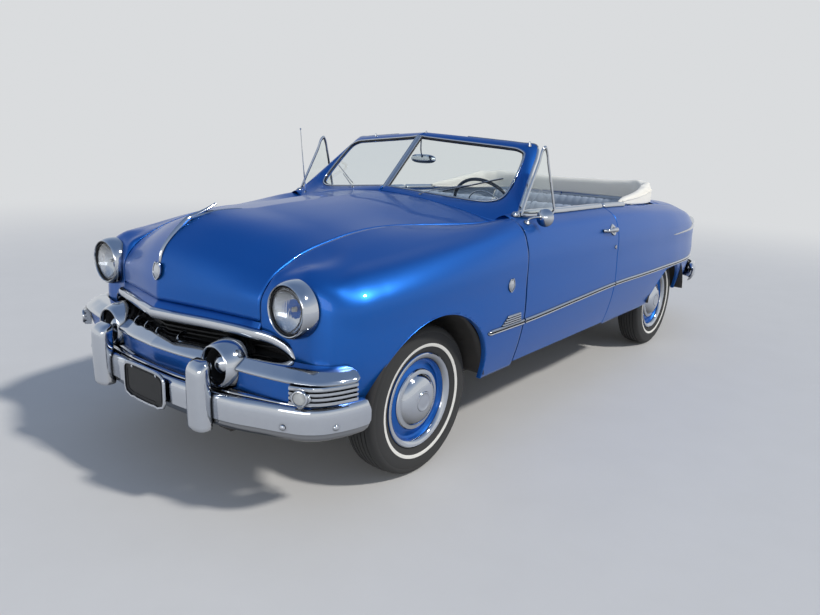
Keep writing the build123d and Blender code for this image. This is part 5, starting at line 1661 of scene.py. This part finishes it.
@dataclass
class FoldedTop:
    """The lowered top under its cream boot: a padded horseshoe with a pressed seam and soft creases."""

    def rings(self) -> Array:
        """Closed rings along the horseshoe, from the left tip to the centre line at the back.

        A ring is a superellipse, as wide and tall as the table says at its place on the spine; the
        seam is a pressed line along the outer face, and the creases are ridges that fan out of the
        corner and die away along the sides.
        """
        spine = np.array([(758, 424), (752, 520), (748, 640), (742, 780), (722, 930), (690, 1050),
            (628, 1134), (520, 1176), (380, 1192), (200, 1200), (0, 1202)], float)
        wide = np.array([14, 48, 56, 64, 76, 98, 118, 118, 116, 114, 114], float)
        tall = np.array([14, 36, 58, 80, 108, 128, 130, 122, 112, 106, 104], float)
        base = np.array([1112, 1108, 1102, 1098, 1096, 1096, 1100, 1106, 1110, 1112, 1112], float)
        made = curve(np.column_stack([spine, wide, tall, base]), 110)
        path = xyz(made[:, 0], made[:, 1], 0)
        path[-1, 1] = path[-2, 1]
        _, side, _ = frames_along(path)
        angle = around(60)
        sin, out = np.sin(angle), power(np.cos(angle), 0.7)
        rise = np.where(sin > 0, abs(sin) ** 0.6, -0.12 * abs(sin))
        along = np.linspace(0, 1, 110)[:, None]
        slack = np.exp(-((along - 0.46) / 0.16) ** 2)
        crease = slack * (2.2 * np.cos(angle[None] * 5 + along * 40) + 1.2
            * np.cos(angle[None] * 3 - along * 64))
        crease = crease * np.clip(sin, 0, 1)[None] ** 0.5
        seam = -4 * np.exp(-((angle[None] - 0.55) / 0.055) ** 2) + 2.2 * np.exp(
            -((angle[None] - 0.40) / 0.16) ** 2)
        body = 1 + (crease + seam) / 60
        slump = 1.5 * np.sin(along * 24) * np.clip(sin, 0, 1)[None]
        grid = path[:, None] + side[:, None] * (out * made[:, 2:3] / 2 * body)[..., None]
        grid[..., 2] = made[:, 4:5] + rise[None] * made[:, 3:4] * body + slump
        grid[-1, :, 0] = 0
        return grid

    def build(self) -> None:
        """Makes the boot and its piping."""
        grid = self.rings()
        part = loft_part(grid, (True, False))
        boot = piece("top_cover", both(part), CREAM, shade=Shade.SMOOTH)
        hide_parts("top_boot")
        for name, at, radius in (("cover_welt_outer", 4, 4.5), ("cover_welt_inner", 30, 4.0)):
            part = bar_part(grid[3:, at], circle(radius, 8), 150)
            piece(name, both(part), CREAM, shade=Shade.SMOOTH)


# ---- under the hood and in the trunk


@dataclass
class EngineBay:
    """Vee engine with its air cleaner, fan and radiator, the gearbox and shaft behind, and the trunk's lining."""

    def block(self) -> None:
        """Vee-shaped block, two heads with their studs, plugs and leads, and the inlet housing."""
        section = np.array([(0, 384), (95, 392), (132, 430), (150, 490), (292, 642), (236, 716), (118, 640),
            (60, 652), (0, 655)], float)
        ring = np.vstack([section, (section * (-1, 1))[-2:0:-1]])
        block = prism(ring - (0, 540), ((-1960, 0.90), (-1948, 1.0), (-1660, 1.0), (-1342, 1.0),
            (-1330, 0.92)), (0, 0, 540))
        obj = piece("engine_block", block, CASTING)
        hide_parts("engine")
        head = ((-66, -16), (66, -16), (72, 0), (64, 22), (30, 30), (-30, 30), (-64, 22), (-72, 0))
        path = [(262, -1938, 688), (262, -1700, 688), (262, -1352, 688)]
        out = np.array((0.64, 0, 0.77))
        part = bar_part(path, head, 24, up=out, scale=tapered(24, 0.03, 0.03, 0.9))
        studs, leads = [], []
        for k in range(8):
            for across in (-46, 46):
                at = np.array((262, 76 * k - 1905, 688.0)) + across * np.array((0.77, 0, -0.64)) + 20 * out
                studs.append(spun([(-4, 8), (9, 8), (11, 6), (12, 0)], 6, at, out))
        for k in range(4):
            top = np.array((282, -1860 + 146 * k, 716.0))
            leads.append(rod_part([top, top + (22, 10, 48), (150, -1900 + 20 * k, 760), (60, -1935, 742)],
                4.5, 8, 28))
            studs.append(spun([(-6, 9), (14, 9), (20, 6), (30, 6), (32, 0)], 16, top, out))
        piece("cylinder_heads", both(part), CASTING)
        piece("head_studs", both(joined(*studs)), DULL_CHROME)
        piece("plug_leads", both(joined(*leads)), SEAL)
        inlet = prism(rounded_outline(210, 90, 30, 40), ((-1850, 0.8), (-1838, 1.0), (-1450, 1.0),
            (-1438, 0.8)), (0, 0, 690))
        piece("inlet_housing", inlet, CASTING)

    def cleaner(self) -> None:
        """Round air cleaner on its neck, with a rolled rim, a clamp and a wing nut."""
        drum = ((724, 0), (724, 52), (776, 54), (784, 60), (792, 128), (798, 150), (808, 158), (820, 160),
            (848, 158), (858, 154), (864, 156), (868, 152), (874, 120), (880, 60), (882, 0))
        piece("air_cleaner", turned(drum, (0, -1640, 0), "z", 72), UNDER)
        nut = ((881, 0), (881, 16), (886, 15), (889, 8), (896, 6), (898, 0))
        piece("cleaner_nut", turned(nut, (0, -1640, 0), "z", 24), CHROME)

    def front_end(self) -> None:
        """Radiator with its tanks, upright fins and cap, the fan with its pulley, and two hoses."""
        outline = rounded_outline(620, 400, 26, 64)
        rings = [xyz(outline[:, 0] * k, y, 640 + outline[:, 1]) for y,
            k in ((-2172, 0.96), (-2166, 1.0), (-2126, 1.0), (-2120, 0.96))]
        piece("radiator_core", loft_part(rings), UNDER)
        fins = [bar_part([(x, -2118, 470), (x, -2118, 800)], ((-3, -4), (3, -4), (3, 4), (-3, 4)), 4,
            up=(1, 0, 0)) for x in range(-288, 300, 18)]
        piece("radiator_fins", joined(*fins), SEAL)
        tank = [(-300, -2146, 842), (0, -2146, 850), (300, -2146, 842)]
        piece("radiator_tank", bar_part(tank, circle(44, 24, 0.9), 40, scale=tapered(40, 0.05, 0.05, 0.4)),
            UNDER)
        piece("radiator_cap", turned(((884, 0), (884, 30), (892, 31), (896, 24), (898, 0)), (0, -2146, 0),
            "z", segments=32), CHROME)
        blades = []
        for a in around(4) + 0.4:
            out, across = np.array((math.cos(a), 0, math.sin(a))), np.array((-math.sin(a), 0, math.cos(a)))
            line = [np.array((0, -2050, 600.0)) + out * r + (0, 6 * s, 0) for r,
                s in ((20, 0), (90, 0), (195, 1))]
            blades.append(bar_part(line, ((-36, -2), (36, -2), (36, 2), (-36, 2)), 12,
                up=across * 0.4 + (0, 0.9, 0), scale=np.linspace(0.5, 1.1, 12)))
        hub = turned(((-2070, 0), (-2070, 26), (-2058, 40), (-2040, 62), (-2030, 74), (-2016, 68),
            (-2004, 74), (-1996, 50), (-1960, 46), (-1955, 0)), (0, 0, 600), "y", segments=48)
        piece("fan", joined(hub, *blades), DULL_CHROME)
        hoses = [rod_part([(s * 200, -2128, 838), (s * 210, -2060, 830), (s * 236, -1990, 770),
            (s * 240, -1940, 726)], 24, 20, 40) for s in (-1, 1)]
        piece("radiator_hoses", joined(*hoses), SEAL)

    def behind(self) -> None:
        """Gearbox, its tail and the shaft to the rear axle, with the two exhaust manifolds."""
        box = ((-1332, 0), (-1332, 190), (-1300, 196), (-1250, 176), (-1180, 128), (-1100, 112), (-960, 106),
            (-940, 84), (-820, 62), (-700, 54), (-690, 40), (-680, 38), (1040, 38), (1050, 56), (1086, 52),
            (1088, 0))
        piece("gearbox_and_shaft", turned(box, (0, 0, 440), "y", segments=48), UNDER)
        path = [(316, -1900, 620), (330, -1860, 606), (334, -1620, 600), (330, -1400, 590), (300, -1320, 520),
            (262, -1240, 400)]
        piece("exhaust_manifolds", both(bar_part(path, circle(30, 20), 60)), STEEL)

    def trunk_lining(self) -> None:
        """Boards inside the quarters that close the trunk's sides, and the shelves between them and the floor."""
        yy, zz = np.meshgrid(np.linspace(1690, 2384, 60), np.linspace(478, 812, 16))
        skin = SHAPE.skin(yy.ravel(), zz.ravel()).reshape(16, 60, 3) - (16, 0, 0)
        y_low = np.linspace(1784, 2384, 40)
        outer = SHAPE.skin(y_low, 0 * y_low + 480) - (16, 0, 0)
        share = np.linspace(0, 1, 10)[:, None, None]
        shelf = xyz(482, y_low, 465) * (1 - share) + outer * share
        pair("trunk_shelf", sheet_part(shelf), MAT, wall=2)
        pair("trunk_board", sheet_part(skin), MAT, wall=2)

    def build(self) -> None:
        """Makes everything under the hood and in the trunk."""
        self.block()
        self.cleaner()
        self.front_end()
        self.behind()
        self.trunk_lining()


def dress_frame() -> None:
    """Gives every CAD node that still shows its finish."""
    for finish, names in CAD_FINISHES.items():
        for name in names:
            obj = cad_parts[name]
            obj.data.materials.clear()
            obj.data.materials.append(finish.material())


def main() -> None:
    """Builds the studio and every sub-assembly in order."""
    Studio().build()
    dress_frame()
    WheelSet().build()
    panels = Panels()
    panels.build()
    FrontEnd().build(panels)
    Headlamps().build()
    Bumpers().build()
    Windshield().build()
    Brightwork().build()
    Cabin().build()
    FoldedTop().build()
    EngineBay().build()


if __name__ == "__main__":
    main()
